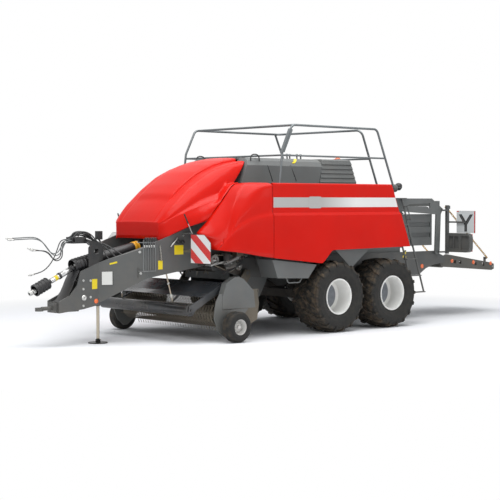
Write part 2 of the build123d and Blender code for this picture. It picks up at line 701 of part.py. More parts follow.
# Front corner shields between the hood and the side doors
LOW_Y = PANEL_Y + PANEL_STEP
FAIRING_STATIONS = [
    # x, joint y and z, ridge y and z, crease heights, bottom y and z
    (PANEL_SEAM, 900, PANEL_TOP - 3, 1385, PANEL_TOP - 2, 1980, 1945, LOW_Y, 1275),
    (1700, 925, PANEL_TOP + 1, 1380, PANEL_TOP - 67, 1952, 1918, LOW_Y, 1352),
    (1930, 972, PANEL_TOP - 37, 1378, PANEL_TOP - 203, 1908, 1876, LOW_Y - 2, 1425),
    (2140, 992, 2222, 1376, 2018, 1842, 1808, LOW_Y - 8, 1492),
    (2350, 985, 2000, 1374, 1796, 1752, 1716, LOW_Y - 26, 1560),
    (2462, 962, 1880, 1370, 1640, 1632, 1622, 1378, 1600),
    (2600, 950, 1720, 1100, 1668, 1662, 1656, 1104, 1640),
]


def fairing_strip(sign, station):
    """Thin bent section of the corner shield at one station."""
    x, joint_y, joint_z, ridge_y, ridge_z, crease, step, low_y, low_z = station
    t = SHIELD_SHEET
    upper_y = ridge_y + 0.4 * (low_y - ridge_y)
    outer = [(joint_y, joint_z), (ridge_y, ridge_z), (upper_y, crease), (low_y, step), (low_y, low_z)]
    inner = [(low_y - t, low_z + t * 0.4), (low_y - t, step + 2), (upper_y - t, crease + 2),
             (ridge_y - t, ridge_z - t), (joint_y, joint_z - t)]
    return make_face(Polyline(*[(x, sign * y, z) for y, z in outer + inner], close=True))


def fairing(sign):
    """Corner shield as a ruled loft of bent strips."""
    sheet = loft([fairing_strip(sign, station) for station in FAIRING_STATIONS], ruled=True)
    low_bracket = block(2335, 2365, sign * CHASSIS_OUTER, sign * (LOW_Y - 34), 1600, 1640)
    top_bracket = block(1426, 1490, sign * 1000, sign * 1060, DECK_HEIGHT, PANEL_TOP - 8)
    return sheet.fuse(low_bracket, top_bracket)


both_sides("fairing", fairing)

# Side doors: one long creased sheet on hinges along its top edge
DOOR_HINGE = (1322, PANEL_TOP - 31)
DOOR_HINGE_XS = (1150, 0, -1150)
DOOR_FRONT = PANEL_SEAM - SHUT_GAP
DOOR_OUTLINE = [
    (DOOR_FRONT, PANEL_TOP + 5), (-1338, PANEL_TOP), (-1784, 1388), (127, 1369), (170, 1352), (340, 1190),
    (377, 1166), (420, 1162), (DOOR_FRONT, 1275),
]


def door(sign):
    """Hinged side door."""
    t = SHIELD_SHEET
    y, top = PANEL_Y, PANEL_TOP
    outer = [(y - 60, top - 20), (y - 46, top - 4), (y - 22, top), (y - 4, top - 14), (y, top - 40),
             (y, PANEL_CREASE + 12), (LOW_Y, PANEL_CREASE - 34), (LOW_Y, 1100)]
    inner = [(LOW_Y - t, 1100), (LOW_Y - t, PANEL_CREASE - 37), (y - t, PANEL_CREASE + 9),
             (y - t, top - 41),
             (y - 11, top - 20), (y - 25, top - t), (y - 42, top - 12), (y - 54, top - 26)]
    sheet = front_outline([(sign * a, b) for a, b in outer + inner], -1790, DOOR_FRONT)
    trim = side_outline(DOOR_OUTLINE, sign * (y - 90), sign * (LOW_Y + 20))
    sheet = sheet & trim
    hy, hz = DOOR_HINGE
    for x in DOOR_HINGE_XS:
        knuckle = rod((x - 35, sign * hy, hz), (x + 35, sign * hy, hz), 14)
        web = block(x - 35, x + 35, sign * (hy + 8), sign * (y - 50), hz - 2, hz + 10)
        sheet = sheet.fuse(knuckle, web) - rod((x - 40, sign * hy, hz), (x + 40, sign * hy, hz),
                                               HINGE_PIN + RUNNING_FIT)
    return sheet


both_sides("door", door)

# Side frames: walkway deck, twine compartments, under box and wheel gusset
BOX_INNER = 760
BOX_OUTER = 1290
BOX_FLOOR = 1450
BOX_FRONT = 1400
BOX_BACK = -1330


def side_frame(sign):
    """Everything that the side door hides, and the two grey pieces below it."""
    t = 6
    def plate(x0, x1, y0, y1, z0, z1):
        return block(x0, x1, sign * y0, sign * y1, z0, z1)

    pieces = [
        plate(-1700, 1440, CHASSIS_OUTER, BOX_OUTER, DECK_HEIGHT - 8, DECK_HEIGHT),
        plate(BOX_BACK, BOX_FRONT, BOX_INNER, BOX_INNER + t, BOX_FLOOR, DECK_HEIGHT - 8),
        plate(BOX_BACK, BOX_FRONT, BOX_INNER, BOX_OUTER, BOX_FLOOR, BOX_FLOOR + t),
        plate(BOX_BACK, BOX_FRONT, BOX_INNER, BOX_OUTER, 1925, 1925 + t),
    ]
    for x in (BOX_FRONT - t, 35, BOX_BACK):
        pieces.append(plate(x, x + t, BOX_INNER, BOX_OUTER, BOX_FLOOR, DECK_HEIGHT - 8))
    for x in (1150, 60, -1150):
        pieces.append(plate(x - 30, x + 30, CHASSIS_OUTER, BOX_INNER, 1130, DECK_HEIGHT - 8))
    hy, hz = DOOR_HINGE
    for x in DOOR_HINGE_XS:
        pin = rod((x - 60, sign * hy, hz), (x + 60, sign * hy, hz), HINGE_PIN)
        pieces.append(pin)
        for end in (x - 50, x + 50):
            lug = front_outline([(sign * (BOX_OUTER - 20), DECK_HEIGHT),
                                 (sign * BOX_OUTER, DECK_HEIGHT - 8),
                                 (sign * (hy + 8), hz - 10), (sign * (hy + 10), hz + 4),
                                 (sign * hy, hz + 11),
                                 (sign * (hy - 12), hz + 8)], end - 6, end + 6)
            pieces.append(lug)
    under = side_outline([(1459, 1244), (466, 1138), (658, 922), (1342, 949)], sign * 1000, sign * 1380)
    inside = side_outline([(1450, 1260), (480, 1160), (664, 928), (1336, 955)], sign * 1006, sign * 1374)
    pieces.append(under - inside)
    for x in (700, 1250):
        pieces.append(plate(x, x + 60, BOX_OUTER - 10, BOX_OUTER, 1100, BOX_FLOOR))
        pieces.append(plate(x, x + 60, BOX_OUTER - 10, 1378, 1040, 1100))
    pieces.append(bent_tube([(1130, sign * 1350, 952), (1080, sign * 1350, 862), (830, sign * 1350, 862),
                             (770, sign * 1350, 940)], 11, 40))
    gusset = [(-60, 1366), (-70, BOX_FLOOR), (-880, BOX_FLOOR), (-900, 1371), (-470, 1061), (-430, 1061)]
    pieces.append(side_outline(gusset, sign * (BOX_OUTER - 10), sign * BOX_OUTER))
    return pieces[0].fuse(*pieces[1:])


both_sides("side_frame", side_frame)


# Grey top cover with its stepped louvre block behind it
def top_cover():
    """Two sheet covers standing on the decks."""
    low = DECK_HEIGHT
    y, top = COVER_HALF, COVER_TOP
    def shell(half, x0, x1, outline):
        outer = front_outline(mirrored(half), x0, x1)
        return outer & side_outline(outline, -y - 80, y + 80)

    half = [(y, low), (y - 6, top - 140), (y - 62, top - 62), (y - 150, top - 12), (0, top)]
    thin = [(a - 6 if a else 0, b - (6 if b > low else 40)) for a, b in half]
    front = [(-196, low), (-330, top + 5), (1346, top + 5), (1396, top - 85), (1561, low + 61),
             (1570, low)]
    cover = shell(half, -400, 1600, front)
    cover = cover - (front_outline(mirrored(thin), -500, 1700)
                     & side_outline([(-190, low - 50), (-318, top), (1336, top), (1388, top - 88),
                                     (1553, low + 58),
                                     (1560, low - 50)], -y, y))
    for hinge_y in (-420, 420):
        cover = cover - block(HOOD_HINGE[0] - 22, HOOD_HINGE[0] + 40, hinge_y - 32, hinge_y + 32,
                              HOOD_HINGE[1] - 90, top + 5)
    steps = [(y + 30, low)]
    count = 6
    drop = (top - 20 - low) / count
    for index in range(count):
        z = low + index * drop
        steps += [(y + 30 - index * 10, z + 2), (y + 6 - index * 10, z + drop - 4)]
    steps += [(y - 90, top - 6), (0, top)]
    outer = front_outline(mirrored(steps), -1145, -190)
    louvre = outer & side_outline([(-204, low), (-340, top + 5), (-1020, top - 8), (-1140, low)], -y - 80,
                                  y + 80)
    core = block(-1100, -260, -y + 90, y - 90, low - 40, top - 60)
    louvre = louvre - (core & side_outline([(-216, low - 50), (-348, top), (-1008, top),
                                            (-1130, low - 50)], -y, y))
    x, z = HOOD_HINGE
    lugs = []
    for hinge_y in (-420, 420):
        lugs.append(rod((x, hinge_y - 52, z), (x, hinge_y + 52, z), HINGE_PIN))
        for side in (hinge_y - 46, hinge_y + 32):
            lugs.append(side_outline([(x - 75, z - 10), (x - 75, z + 30), (x + 12, z + 12),
                                      (x + 12, z - 10), (x - 8, z - 14)],
                                     side, side + 14))
    return cover.fuse(*lugs), louvre


cover_shell, louvre_shell = top_cover()
nodes["top_cover"] = cover_shell
nodes["louvre"] = louvre_shell


# Guard rails round the top walkway, open for the ladder at the rear left
def rails():
    """Left rail with the front bars, and right rail with the rear bars."""
    y, top, knee, r = RAIL_Y, RAIL_HEIGHT, KNEE_RAIL_HEIGHT, RAIL_RADIUS
    foot = DECK_HEIGHT
    front = [(1165, foot), (1095, RAIL_BEND_HEIGHT), (880, top)]
    back = [(-1140, top), (-1575, foot)]
    gate_y = 830
    def knee_x(points):
        (xa, za), (xb, zb) = points
        return xa + (xb - xa) * (knee - za) / (zb - za)

    front_knee = knee_x(((1165, foot), (1095, RAIL_BEND_HEIGHT)))
    back_knee = knee_x((back[1], back[0]))
    left = bent_tube([(x, y, z) for x, z in front + back], r, 110)
    bars = [
        rod((880 - 60, -y + r + 0.3, top), (880 - 60, y, top), r),
        rod((front_knee, y, knee), (back_knee, y, knee), r - 4),
        rod((front_knee, y, knee), (front_knee, -y + r + 0.3, knee), r - 4),
        side_outline([(1126, RAIL_BEND_HEIGHT - 30), (1072, RAIL_BEND_HEIGHT - 30), (888, top - 80),
                      (940, top - 60)], y - 28, y + 28),
    ]
    left = left.fuse(*bars)
    right = bent_tube([(x, -y, z) for x, z in front] + [(-1140, -y, top), (-1175, gate_y, top),
                                                        (-1600, gate_y, foot)],
                      r, 110)
    gate_knee = knee_x(((-1600, foot), (-1175, top)))
    others = [
        rod((front_knee, -y, knee), (back_knee, -y, knee), r - 4),
        rod((-1040, -y, top), (-1500, -y, foot), r),
        rod((back_knee, -y, knee), (gate_knee, gate_y, knee), r - 4),
    ]
    below = block(-1700, 1300, -y - 60, y + 60, foot - 120, foot + 0.3)
    return left - below, right.fuse(*others) - below


nodes["rail_left"], nodes["rail_right"] = rails()

# Pickup: rear tray, side shields, stripper bands, tine reel, gauge wheels and wind guard
SHIELD_INNER = PICKUP_HALF + 25
SHIELD_OUTER = SHIELD_INNER + 110
REEL_STUB = 25
GUARD_PIVOT = (2210, 870)
GUARD_Y = PICKUP_HALF - 20


def pickup_frame():
    """Back tray, cross tube, inner side plates and the lift arms."""
    x, z, half = REEL_X, REEL_HEIGHT, PICKUP_HALF
    side = [(1560, 560), (1600, 300), (1760, 220), (2330, 330), (2400, 420), (2330, 500), (2262, 860),
            (2240, 900),
            (2185, 905), (2090, 740), (1900, 800), (1600, 780)]
    pieces = [
        side_outline([(1560, 780), (1560, 720), (1572, 720), (1572, 768), (1900, 792), (2075, 692),
                      (2083, 702),
                      (1904, 804)], -half, half),
        side_outline([(1790, 214), (1790, 226), (1640, 310), (1600, 300)], -half, half),
        rod((1640, -half, 400), (1640, half, 400), 55),
    ]
    for sign in (1, -1):
        plate = side_outline(side, sign * half, sign * (half + 12))
        plate = plate - rod((x, sign * (half - 5), z), (x, sign * (half + 20), z),
                            REEL_STUB + RUNNING_FIT)
        pieces.append(plate)
        pieces.append(rod((GUARD_PIVOT[0], sign * (GUARD_Y - 15), GUARD_PIVOT[1]),
                          (GUARD_PIVOT[0], sign * half, GUARD_PIVOT[1]), 20))
        arm = side_outline([(PICKUP_PIVOT[0] - 60, 950), (PICKUP_PIVOT[0] - 60, 1060),
                            (PICKUP_PIVOT[0] + 50, 1070),
                            (1680, 790), (1680, 700), (1560, 700)], sign * ARM_INNER, sign * ARM_OUTER)
        pieces.append(arm)
        pieces.append(rod((PICKUP_PIVOT[0], sign * (CHASSIS_OUTER + 14), PICKUP_PIVOT[1]),
                          (PICKUP_PIVOT[0], sign * ARM_INNER, PICKUP_PIVOT[1]), 46))
    frame = pieces[0].fuse(*pieces[1:])
    for sign in (1, -1):
        frame = frame - rod((PICKUP_PIVOT[0], sign * (CHASSIS_OUTER + 10), PICKUP_PIVOT[1]),
                            (PICKUP_PIVOT[0], sign * (ARM_OUTER + 2), PICKUP_PIVOT[1]),
                            PICKUP_PIN + RUNNING_FIT)
    return frame


def pickup_shield(sign):
    """Hollow side shield in two plates with the stub of the gauge wheel."""
    upper = [(1752, 505), (1785, 770), (1990, 955), (2090, 1000), (2190, 995), (2350, 905), (2432, 700),
             (2440, 505)]
    lower = [(1900, 496), (2200, 180), (2330, 84), (2410, 84), (2530, 190), (2605, 360), (2590, 520),
             (2560, 640),
             (2490, 750), (2436, 742), (2446, 496)]
    wall = 5
    outer = side_outline(upper, sign * SHIELD_INNER, sign * SHIELD_OUTER)
    pocket = [(x + (wall if x < 2100 else -wall), z - 10) for x, z in upper[1:-1]]
    pocket = [(1757, 495)] + pocket + [(2435, 495)]
    outer = outer - side_outline(pocket, sign * (SHIELD_INNER - 5), sign * (SHIELD_OUTER - wall))
    skirt = side_outline(lower, sign * (SHIELD_OUTER - 12), sign * SHIELD_OUTER)
    stub = rod((GAUGE_X, sign * SHIELD_OUTER, GAUGE_TYRE_RADIUS + 2),
               (GAUGE_X, sign * (GAUGE_Y + 60), GAUGE_TYRE_RADIUS + 2),
               20)
    inner_face = PICKUP_HALF + 12
    upper_hanger = block(2000, 2090, sign * inner_face, sign * (SHIELD_OUTER - 4), 560, 640)
    lower_hanger = block(2160, 2230, sign * inner_face, sign * (SHIELD_OUTER - 11), 380, 440)
    return outer.fuse(skirt, stub, upper_hanger, lower_hanger)


both_sides("pickup_shield", pickup_shield)


def strippers():
    """Row of bent bands that comb the crop off the tines, on their top bar."""
    bands = []
    count = int(2 * (PICKUP_HALF - 40) / TINE_PITCH)
    start = -TINE_PITCH * count / 2
    r, t = STRIPPER_RADIUS, 4
    angles = (118, 80, 42, 4, -34, -72, -108)
    outer = [(REEL_X + (r + t) * cos(radians(a)),
              REEL_HEIGHT + (r + t) * sin(radians(a))) for a in angles]
    inner = [(REEL_X + r * cos(radians(a)), REEL_HEIGHT + r * sin(radians(a))) for a in reversed(angles)]
    outline = [(2060, 712)] + outer + [(1778, 222), (1778, 228)] + inner + [(2056, 705)]
    for index in range(count + 1):
        y = start + index * TINE_PITCH
        bands.append(side_outline(outline, y - 20, y + 20))
    return bands


nodes["pickup_frame"] = pickup_frame().fuse(*strippers())


def tine_reel():
    """Reel tube with its rows of wire tines."""
    tube = rod((REEL_X, -PICKUP_HALF + 10, REEL_HEIGHT), (REEL_X, PICKUP_HALF - 10, REEL_HEIGHT),
               REEL_TUBE_RADIUS)
    shaft = rod((REEL_X, -PICKUP_HALF - 12, REEL_HEIGHT), (REEL_X, PICKUP_HALF + 12, REEL_HEIGHT),
                REEL_STUB)
    tines = []
    count = int(2 * (PICKUP_HALF - 40) / TINE_PITCH)
    start = -TINE_PITCH * (count - 1) / 2
    half = TINE_WIRE / 2
    for bar in range(TINE_BARS):
        turn = 360 / TINE_BARS * bar + 20
        for index in range(count):
            y = start + index * TINE_PITCH
            tine = block(REEL_TUBE_RADIUS - 6, TINE_RADIUS, y - half, y + half, -half, half)
            tines.append(Pos(REEL_X, 0, REEL_HEIGHT) * Rot(0, turn, 0) * tine)
    return tube.fuse(shaft, *tines)


nodes["tine_reel"] = tine_reel()


def gauge_wheel(sign):
    """Small ribless tyre and its pressed rim."""
    half, r = GAUGE_TYRE_WIDTH / 2, GAUGE_RIM_RADIUS
    z = GAUGE_TYRE_RADIUS + 2
    tyre = turned([
        (r, -half + 14), (r + 50, -half), (r + 95, -half + 16), (GAUGE_TYRE_RADIUS, -half + 48),
        (GAUGE_TYRE_RADIUS, half - 48), (r + 95, half - 16), (r + 50, half), (r, half - 14),
    ], GAUGE_X, sign * GAUGE_Y, z)
    rim = turned([
        (0, 66), (30, 66), (34, 40), (52, 34), (88, 8), (r - 14, half - 36), (r - 6, half - 16),
        (r, half - 14),
        (r, -half + 14), (r - 6, -half + 14), (r - 12, -half + 30), (r - 18, -10), (60, 0), (34, -20),
        (34, -60),
        (20 + RUNNING_FIT, -60), (20 + RUNNING_FIT, 60 + RUNNING_FIT), (0, 60 + RUNNING_FIT),
    ], GAUGE_X, sign * GAUGE_Y, z, sign)
    return tyre, rim


for label, sign in (("left", 1), ("right", -1)):
    nodes[f"gauge_tyre_{label}"], nodes[f"gauge_rim_{label}"] = gauge_wheel(sign)


def wind_guard():
    """Two arms with the bent baffle sheet between them."""
    x, z = GUARD_PIVOT
    rx, rz = WIND_ROLLER_X, WIND_ROLLER_HEIGHT
    pieces = []
    for sign in (1, -1):
        arm = side_outline([(x - 40, z - 20), (x - 20, z + 40), (x + 40, z + 40), (rx + 40, rz + 60),
                            (rx + 50, rz - 20),
                            (rx - 30, rz - 40)], sign * (GUARD_Y - 12), sign * GUARD_Y)
        arm = arm - rod((rx, sign * (GUARD_Y - 20), rz), (rx, sign * (GUARD_Y + 5), rz), 20 + RUNNING_FIT)
        arm = arm - rod((x, sign * (GUARD_Y - 20), z), (x, sign * (GUARD_Y + 5), z), 20 + RUNNING_FIT)
        pieces.append(arm)
    baffle = side_outline([(2740, 700), (2560, 745), (2380, 840), (2240, 900), (2242, 906), (2384, 847),
                           (2564, 751),
                           (2742, 706)], -GUARD_Y + 12, GUARD_Y - 12)
    return pieces[0].fuse(pieces[1], baffle)


nodes["wind_guard"] = wind_guard()


def wind_roller():
    """Crop roller with its end stubs."""
    rx, rz = WIND_ROLLER_X, WIND_ROLLER_HEIGHT
    body = rod((rx, -GUARD_Y + 18, rz), (rx, GUARD_Y - 18, rz), WIND_ROLLER_RADIUS)
    stub = rod((rx, -GUARD_Y - 14, rz), (rx, GUARD_Y + 14, rz), 20)
    return body.fuse(stub)


nodes["wind_roller"] = wind_roller()


# Feeder: curved duct from the pickup up into the chamber floor
def feeder():
    """Side plates and the curved back of the crop duct."""
    half = BALE_WIDTH / 2 - 40
    centre = (1560, 1108)
    outer_r, inner_r = 760, 752
    steps = (180, 200, 220, 240, 258)
    arc = [(centre[0] + outer_r * cos(radians(a)), centre[1] + outer_r * sin(radians(a))) for a in steps]
    back = [(centre[0] + inner_r * cos(radians(a)),
             centre[1] + inner_r * sin(radians(a))) for a in reversed(steps)]
    sheet = side_outline(arc + back, -half, half)
    pieces = []
    plate = arc + [(1530, 500), (1530, 900), (1660, 1108)]
    for sign in (1, -1):
        pieces.append(side_outline(plate, sign * half, sign * (half + 10)))
    pieces.append(block(1640, 1655, -half, half, 900, 1108))
    return sheet.fuse(*pieces)


nodes["chamber"] = nodes["chamber"].fuse(feeder())

# Bale chute with its end roller and chains
ROLLER_RADIUS = 58
CHUTE_END_X = CHUTE_PIVOT_X - CHUTE_LENGTH * cos(radians(CHUTE_SLOPE))
CHUTE_END_Z = CHUTE_PIVOT_HEIGHT - CHUTE_LENGTH * sin(radians(CHUTE_SLOPE)) - 45
CHAIN_LOW = (-4905, 1065)
CHAIN_TOP = (-3640, 2060)


def chute():
    """Side channels with windows, slatted floor and chain lugs."""
    px, pz = CHUTE_PIVOT_X, CHUTE_PIVOT_HEIGHT
    ex, ez = CHUTE_END_X, CHUTE_END_Z
    inner, outer = CHUTE_HALF - CHUTE_SHEET, CHUTE_HALF
    outline = [(px + 50, pz - 60), (px + 50, pz + 40), (px + 30, pz + 66), (px - 66, pz + 66),
               (px - 150, pz + 98), (ex + 60, ez + 80),
               (ex - 40, ez + 50), (ex - 40, ez - 45), (ex + 40, ez - 70), (px - 60, pz - 140),
               (px + 10, pz - 130)]
    pieces = []
    for sign in (1, -1):
        plate = side_outline(outline, sign * inner, sign * outer)
        for wx in (-3990, -4150, -4620, -4860):
            wz = pz - 20 - (px - wx) * tan(radians(CHUTE_SLOPE))
            plate = plate - side_outline([(wx - 32, wz - 32), (wx + 32, wz - 28), (wx + 32, wz + 32),
                                          (wx - 32, wz + 28)],
                                         sign * (inner - 5), sign * (outer + 5))
        plate = plate - rod((px, sign * (inner - 5), pz), (px, sign * (outer + 5), pz),
                            CHUTE_PIN_RADIUS + RUNNING_FIT)
        plate = plate - rod((ex, sign * (inner - 5), ez), (ex, sign * (outer + 5), ez), 20 + RUNNING_FIT)
        lug = rod((CHAIN_LOW[0], sign * (outer - 10), CHAIN_LOW[1]),
                  (CHAIN_LOW[0], sign * (CHAIN_Y - 22), CHAIN_LOW[1]), 16)
        ear = block(CHAIN_LOW[0] - 34, CHAIN_LOW[0] + 34, sign * (outer - 10), sign * outer, 960,
                    CHAIN_LOW[1] + 26)
        pieces += [plate, lug, ear]
    drop = tan(radians(CHUTE_SLOPE))
    for index in range(5):
        x0 = px - 80 - index * 285
        z0 = pz + 30 - (px - x0) * drop
        pieces.append(side_outline([(x0, z0), (x0, z0 - 8), (x0 - 250, z0 - 8 - 250 * drop),
                                    (x0 - 250, z0 - 250 * drop)],
                                   -inner, inner))
    for x0 in (px - 400, px - 1100):
        z0 = pz - 40 - (px - x0) * drop
        pieces.append(block(x0 - 40, x0 + 40, -inner, inner, z0 - 60, z0 + 40))
    return pieces[0].fuse(*pieces[1:])


nodes["chute"] = chute()
nodes["chute_roller"] = rod(
    (CHUTE_END_X, -CHUTE_HALF + CHUTE_SHEET + 6, CHUTE_END_Z),
    (CHUTE_END_X, CHUTE_HALF - CHUTE_SHEET - 6, CHUTE_END_Z), ROLLER_RADIUS,
).fuse(rod((CHUTE_END_X, -CHUTE_HALF, CHUTE_END_Z), (CHUTE_END_X, CHUTE_HALF, CHUTE_END_Z), 20))


def chain(sign):
    """Straight chain of flat links, every other one turned by a quarter."""
    (lx, lz), (tx, tz) = CHAIN_LOW, CHAIN_TOP
    length = hypot(tx - lx, tz - lz)
    run = length - 60
    count = round(run / CHAIN_PITCH)
    pitch = run / count
    half_long, half_wide, bar = pitch / 2 + CHAIN_BAR * 0.8, 17, CHAIN_BAR
    ring = [(-half_long, -8), (-half_long + 9, -half_wide), (half_long - 9, -half_wide), (half_long, -8),
            (half_long, 8), (half_long - 9, half_wide), (-half_long + 9, half_wide), (-half_long, 8)]
    slot = [(-half_long + bar, -half_wide + bar), (half_long - bar, -half_wide + bar),
            (half_long - bar, half_wide - bar), (-half_long + bar, half_wide - bar)]
    link = extrude(make_face(Polyline(*ring, close=True)) - make_face(Polyline(*slot, close=True)),
                   amount=bar / 2,
                   both=True)
    axis = Vector(lx - tx, 0, lz - tz).normalized()
    links = []
    for index in range(count):
        distance = 44 + pitch * (index + 0.5)
        centre = Vector(tx, sign * CHAIN_Y, tz) + axis * distance
        plane = Plane(origin=centre, x_dir=axis, z_dir=(0, 1, 0))
        links.append(plane * Rot(90 if index % 2 else 0, 0, 0) * link)
    head = rod((tx, sign * (CHAIN_Y - 12), tz), (tx, sign * (CHAIN_Y + 12), tz), 26)
    end = Vector(tx, sign * CHAIN_Y, tz) + axis * 52
    head = head.fuse(rod((tx, sign * CHAIN_Y, tz), tuple(end), 9))
    head = head - rod((tx, sign * (CHAIN_Y - 20), tz), (tx, sign * (CHAIN_Y + 20), tz), 12 + RUNNING_FIT)
    return head, links


def chain_node(sign):
    head, links = chain(sign)
    return head.fuse(*links)


both_sides("chain", chain_node)


# Rear light carriers with their marker boards
def rear_light(sign):
    """Post, lamp housing with open lamp holes and the board above it."""
    def plate(x0, x1, y0, y1, z0, z1):
        return block(x0, x1, sign * y0, sign * y1, z0, z1)

    post = plate(-3620, -3560, 750, 800, 1190, 2100)
    housing = plate(-3660, -3560, 800, 1330, 1225, 1580)
    edges = housing.edges().filter_by(Axis.X).group_by(Axis.Y)[-1 if sign > 0 else 0]
    housing = fillet(edges, 90)
    for y0, y1, z0, z1 in ((830, 940, 1290, 1520), (960, 1070, 1290, 1520), (1120, 1300, 1270, 1530)):
        housing = housing - plate(-3592, -3555, y0, y1, z0, z1)
    board = plate(-3648, -3640, 960, 1393, 1585, 1995)
    arm = plate(-3640, -3600, 800, 1180, 1770, 1800)
    link = plate(-3560, -3470, HOOP_OUTER, 800, 1990, 2020)
    tie = plate(-3560, -3370, HOOP_OUTER, 770, 1212, 1240)
    anchor = rod((CHAIN_TOP[0], sign * (CHAIN_Y - 16), CHAIN_TOP[1]),
                 (CHAIN_TOP[0], sign * 750, CHAIN_TOP[1]), 12)
    return post.fuse(housing, board, arm, link, tie, anchor, plate(-3660, -3620, 750, 790, 2030, 2090))


both_sides("rear_light", rear_light)


# Front warning boards on their brackets
def front_board(sign):
    """Board facing forward with its cut outer corner."""
    board = front_outline([(sign * y, z) for y, z in ((865, 1215), (1340, 1215), (1340, 1537),
                                                      (1185, 1660), (865, 1660))],
                          2700, 2706)
    arm = block(2660, 2700, sign * CHASSIS_OUTER, sign * 1100, 1380, 1420)
    return board.fuse(arm)


both_sides("front_board", front_board)

# Ladder: fixed upper part and the folding lower part
LADDER_XS = (-2060, -2340)
LADDER_HINGE = (1005, 1385)
LAMP_X = -2230
LAMP_Y = 640
LAMP_Z = 2410
LAMP_RADIUS = 70


def ladder_line(z):
    """Ladder's distance from the middle at one height."""
    return LADDER_HINGE[0] + (LADDER_HINGE[1] - z) * 0.325


LADDER_TOP = 2225
LADDER_KNEE = 1480


def upper_line(z):
    """Distance of the fixed stiles from the middle at one height."""
    top_y, knee_y = HOOP_OUTER + 17, ladder_line(LADDER_KNEE)
    return top_y + (knee_y - top_y) * (LADDER_TOP - z) / (LADDER_TOP - LADDER_KNEE)


def ladder_upper():
    """Top platform with the two work lamps, upper stiles, rungs and hand rails."""
    top = LADDER_TOP
    pieces = [block(-2460, -1740, -HOOP_OUTER, HOOP_OUTER + 36, top, top + 8)]
    for y in (LAMP_Y, -LAMP_Y):
        pieces.append(rod((LAMP_X + 50, y, LAMP_Z), (LAMP_X - 50, y, LAMP_Z), LAMP_RADIUS))
        pieces.append(rod((LAMP_X, y, top + 4), (LAMP_X, y, LAMP_Z - 50), 18))
    for x in LADDER_XS:
        pieces.append(rod((x, upper_line(top), top + 4), (x, upper_line(LADDER_KNEE), LADDER_KNEE), 16))
        pieces.append(rod((x, upper_line(1830) + 90, 1830), (x, upper_line(2100) + 90, 2100), 11))
        for z in (1850, 2080):
            pieces.append(rod((x, upper_line(z) + 5, z), (x, upper_line(z) + 90, z), 8))
    for z in (2010, 1750, LADDER_KNEE + 10):
        pieces.append(rod((LADDER_XS[0] - 5, upper_line(z), z), (LADDER_XS[1] + 5, upper_line(z), z), 12))
    y, z = LADDER_HINGE
    pieces.append(rod((LADDER_XS[0] + 30, y, z), (LADDER_XS[1] - 30, y, z), 10))
    for x in LADDER_XS:
        inner = x - 26 if x == LADDER_XS[0] else x + 26
        pieces.append(front_outline([(y - 14, z - 14), (y + 14, z - 14), (y - 4, LADDER_KNEE + 24),
                                     (y - 44, LADDER_KNEE + 24)], inner - 5, inner + 5))
    body = pieces[0]
    for piece in pieces[1:]:
        body = body.fuse(piece)
    return body


def ladder():
    """Lower stiles with their steps."""
    y, z = LADDER_HINGE
    low = 560
    pieces = []
    for x in LADDER_XS:
        pieces.append(rod((x, y, z), (x, ladder_line(low), low), 16))
        pieces.append(rod((x - 15, y, z), (x + 15, y, z), 22))
    for step_z in (1140, 850, low):
        pieces.append(block(LADDER_XS[0], LADDER_XS[1], ladder_line(step_z) - 45,
                            ladder_line(step_z) + 45, step_z - 8, step_z + 8))
    body = pieces[0].fuse(*pieces[1:])
    return body - rod((LADDER_XS[0] + 60, y, z), (LADDER_XS[1] - 60, y, z), 10 + RUNNING_FIT)


nodes["ladder_upper"] = ladder_upper()
nodes["ladder"] = ladder()


# Hose carrier on the drawbar and the free hoses with their couplers
CLAMP_FRONT = 4370
HOSE_RADIUS = 8


def hose_carrier():
    """Bracket plate with its round hole, cranked arm and the clamp that the hoses leave."""
    y0, y1 = NOSE_HALF_WIDTH - 14, NOSE_HALF_WIDTH - 2
    outline = [(4130, 1169), (3950, 1237), (3860, 1277), (3860, 1480), (3900, 1530), (4080, 1530),
               (4130, 1470)]
    plate = side_outline(outline, y0, y1) - rod((3985, y0 - 5, 1410), (3985, y1 + 5, 1410), 46)
    arm = side_outline([(3920, 1500), (3920, 1530), (4140, 1600), (4140, 1560), (4060, 1500)], 60, y0)
    clamp = block(4120, CLAMP_FRONT, -90, 86, 1535, 1560)
    cap = block(4120, CLAMP_FRONT, -90, 86, 1616, 1632)
    wall = block(4120, CLAMP_FRONT - 40, -90, 86, 1560, 1616)
    face = block(CLAMP_FRONT - 8, CLAMP_FRONT, -90, 86, 1540, 1625)
    return plate.fuse(arm, clamp, cap, wall, face)


nodes["hose_carrier"] = hose_carrier()

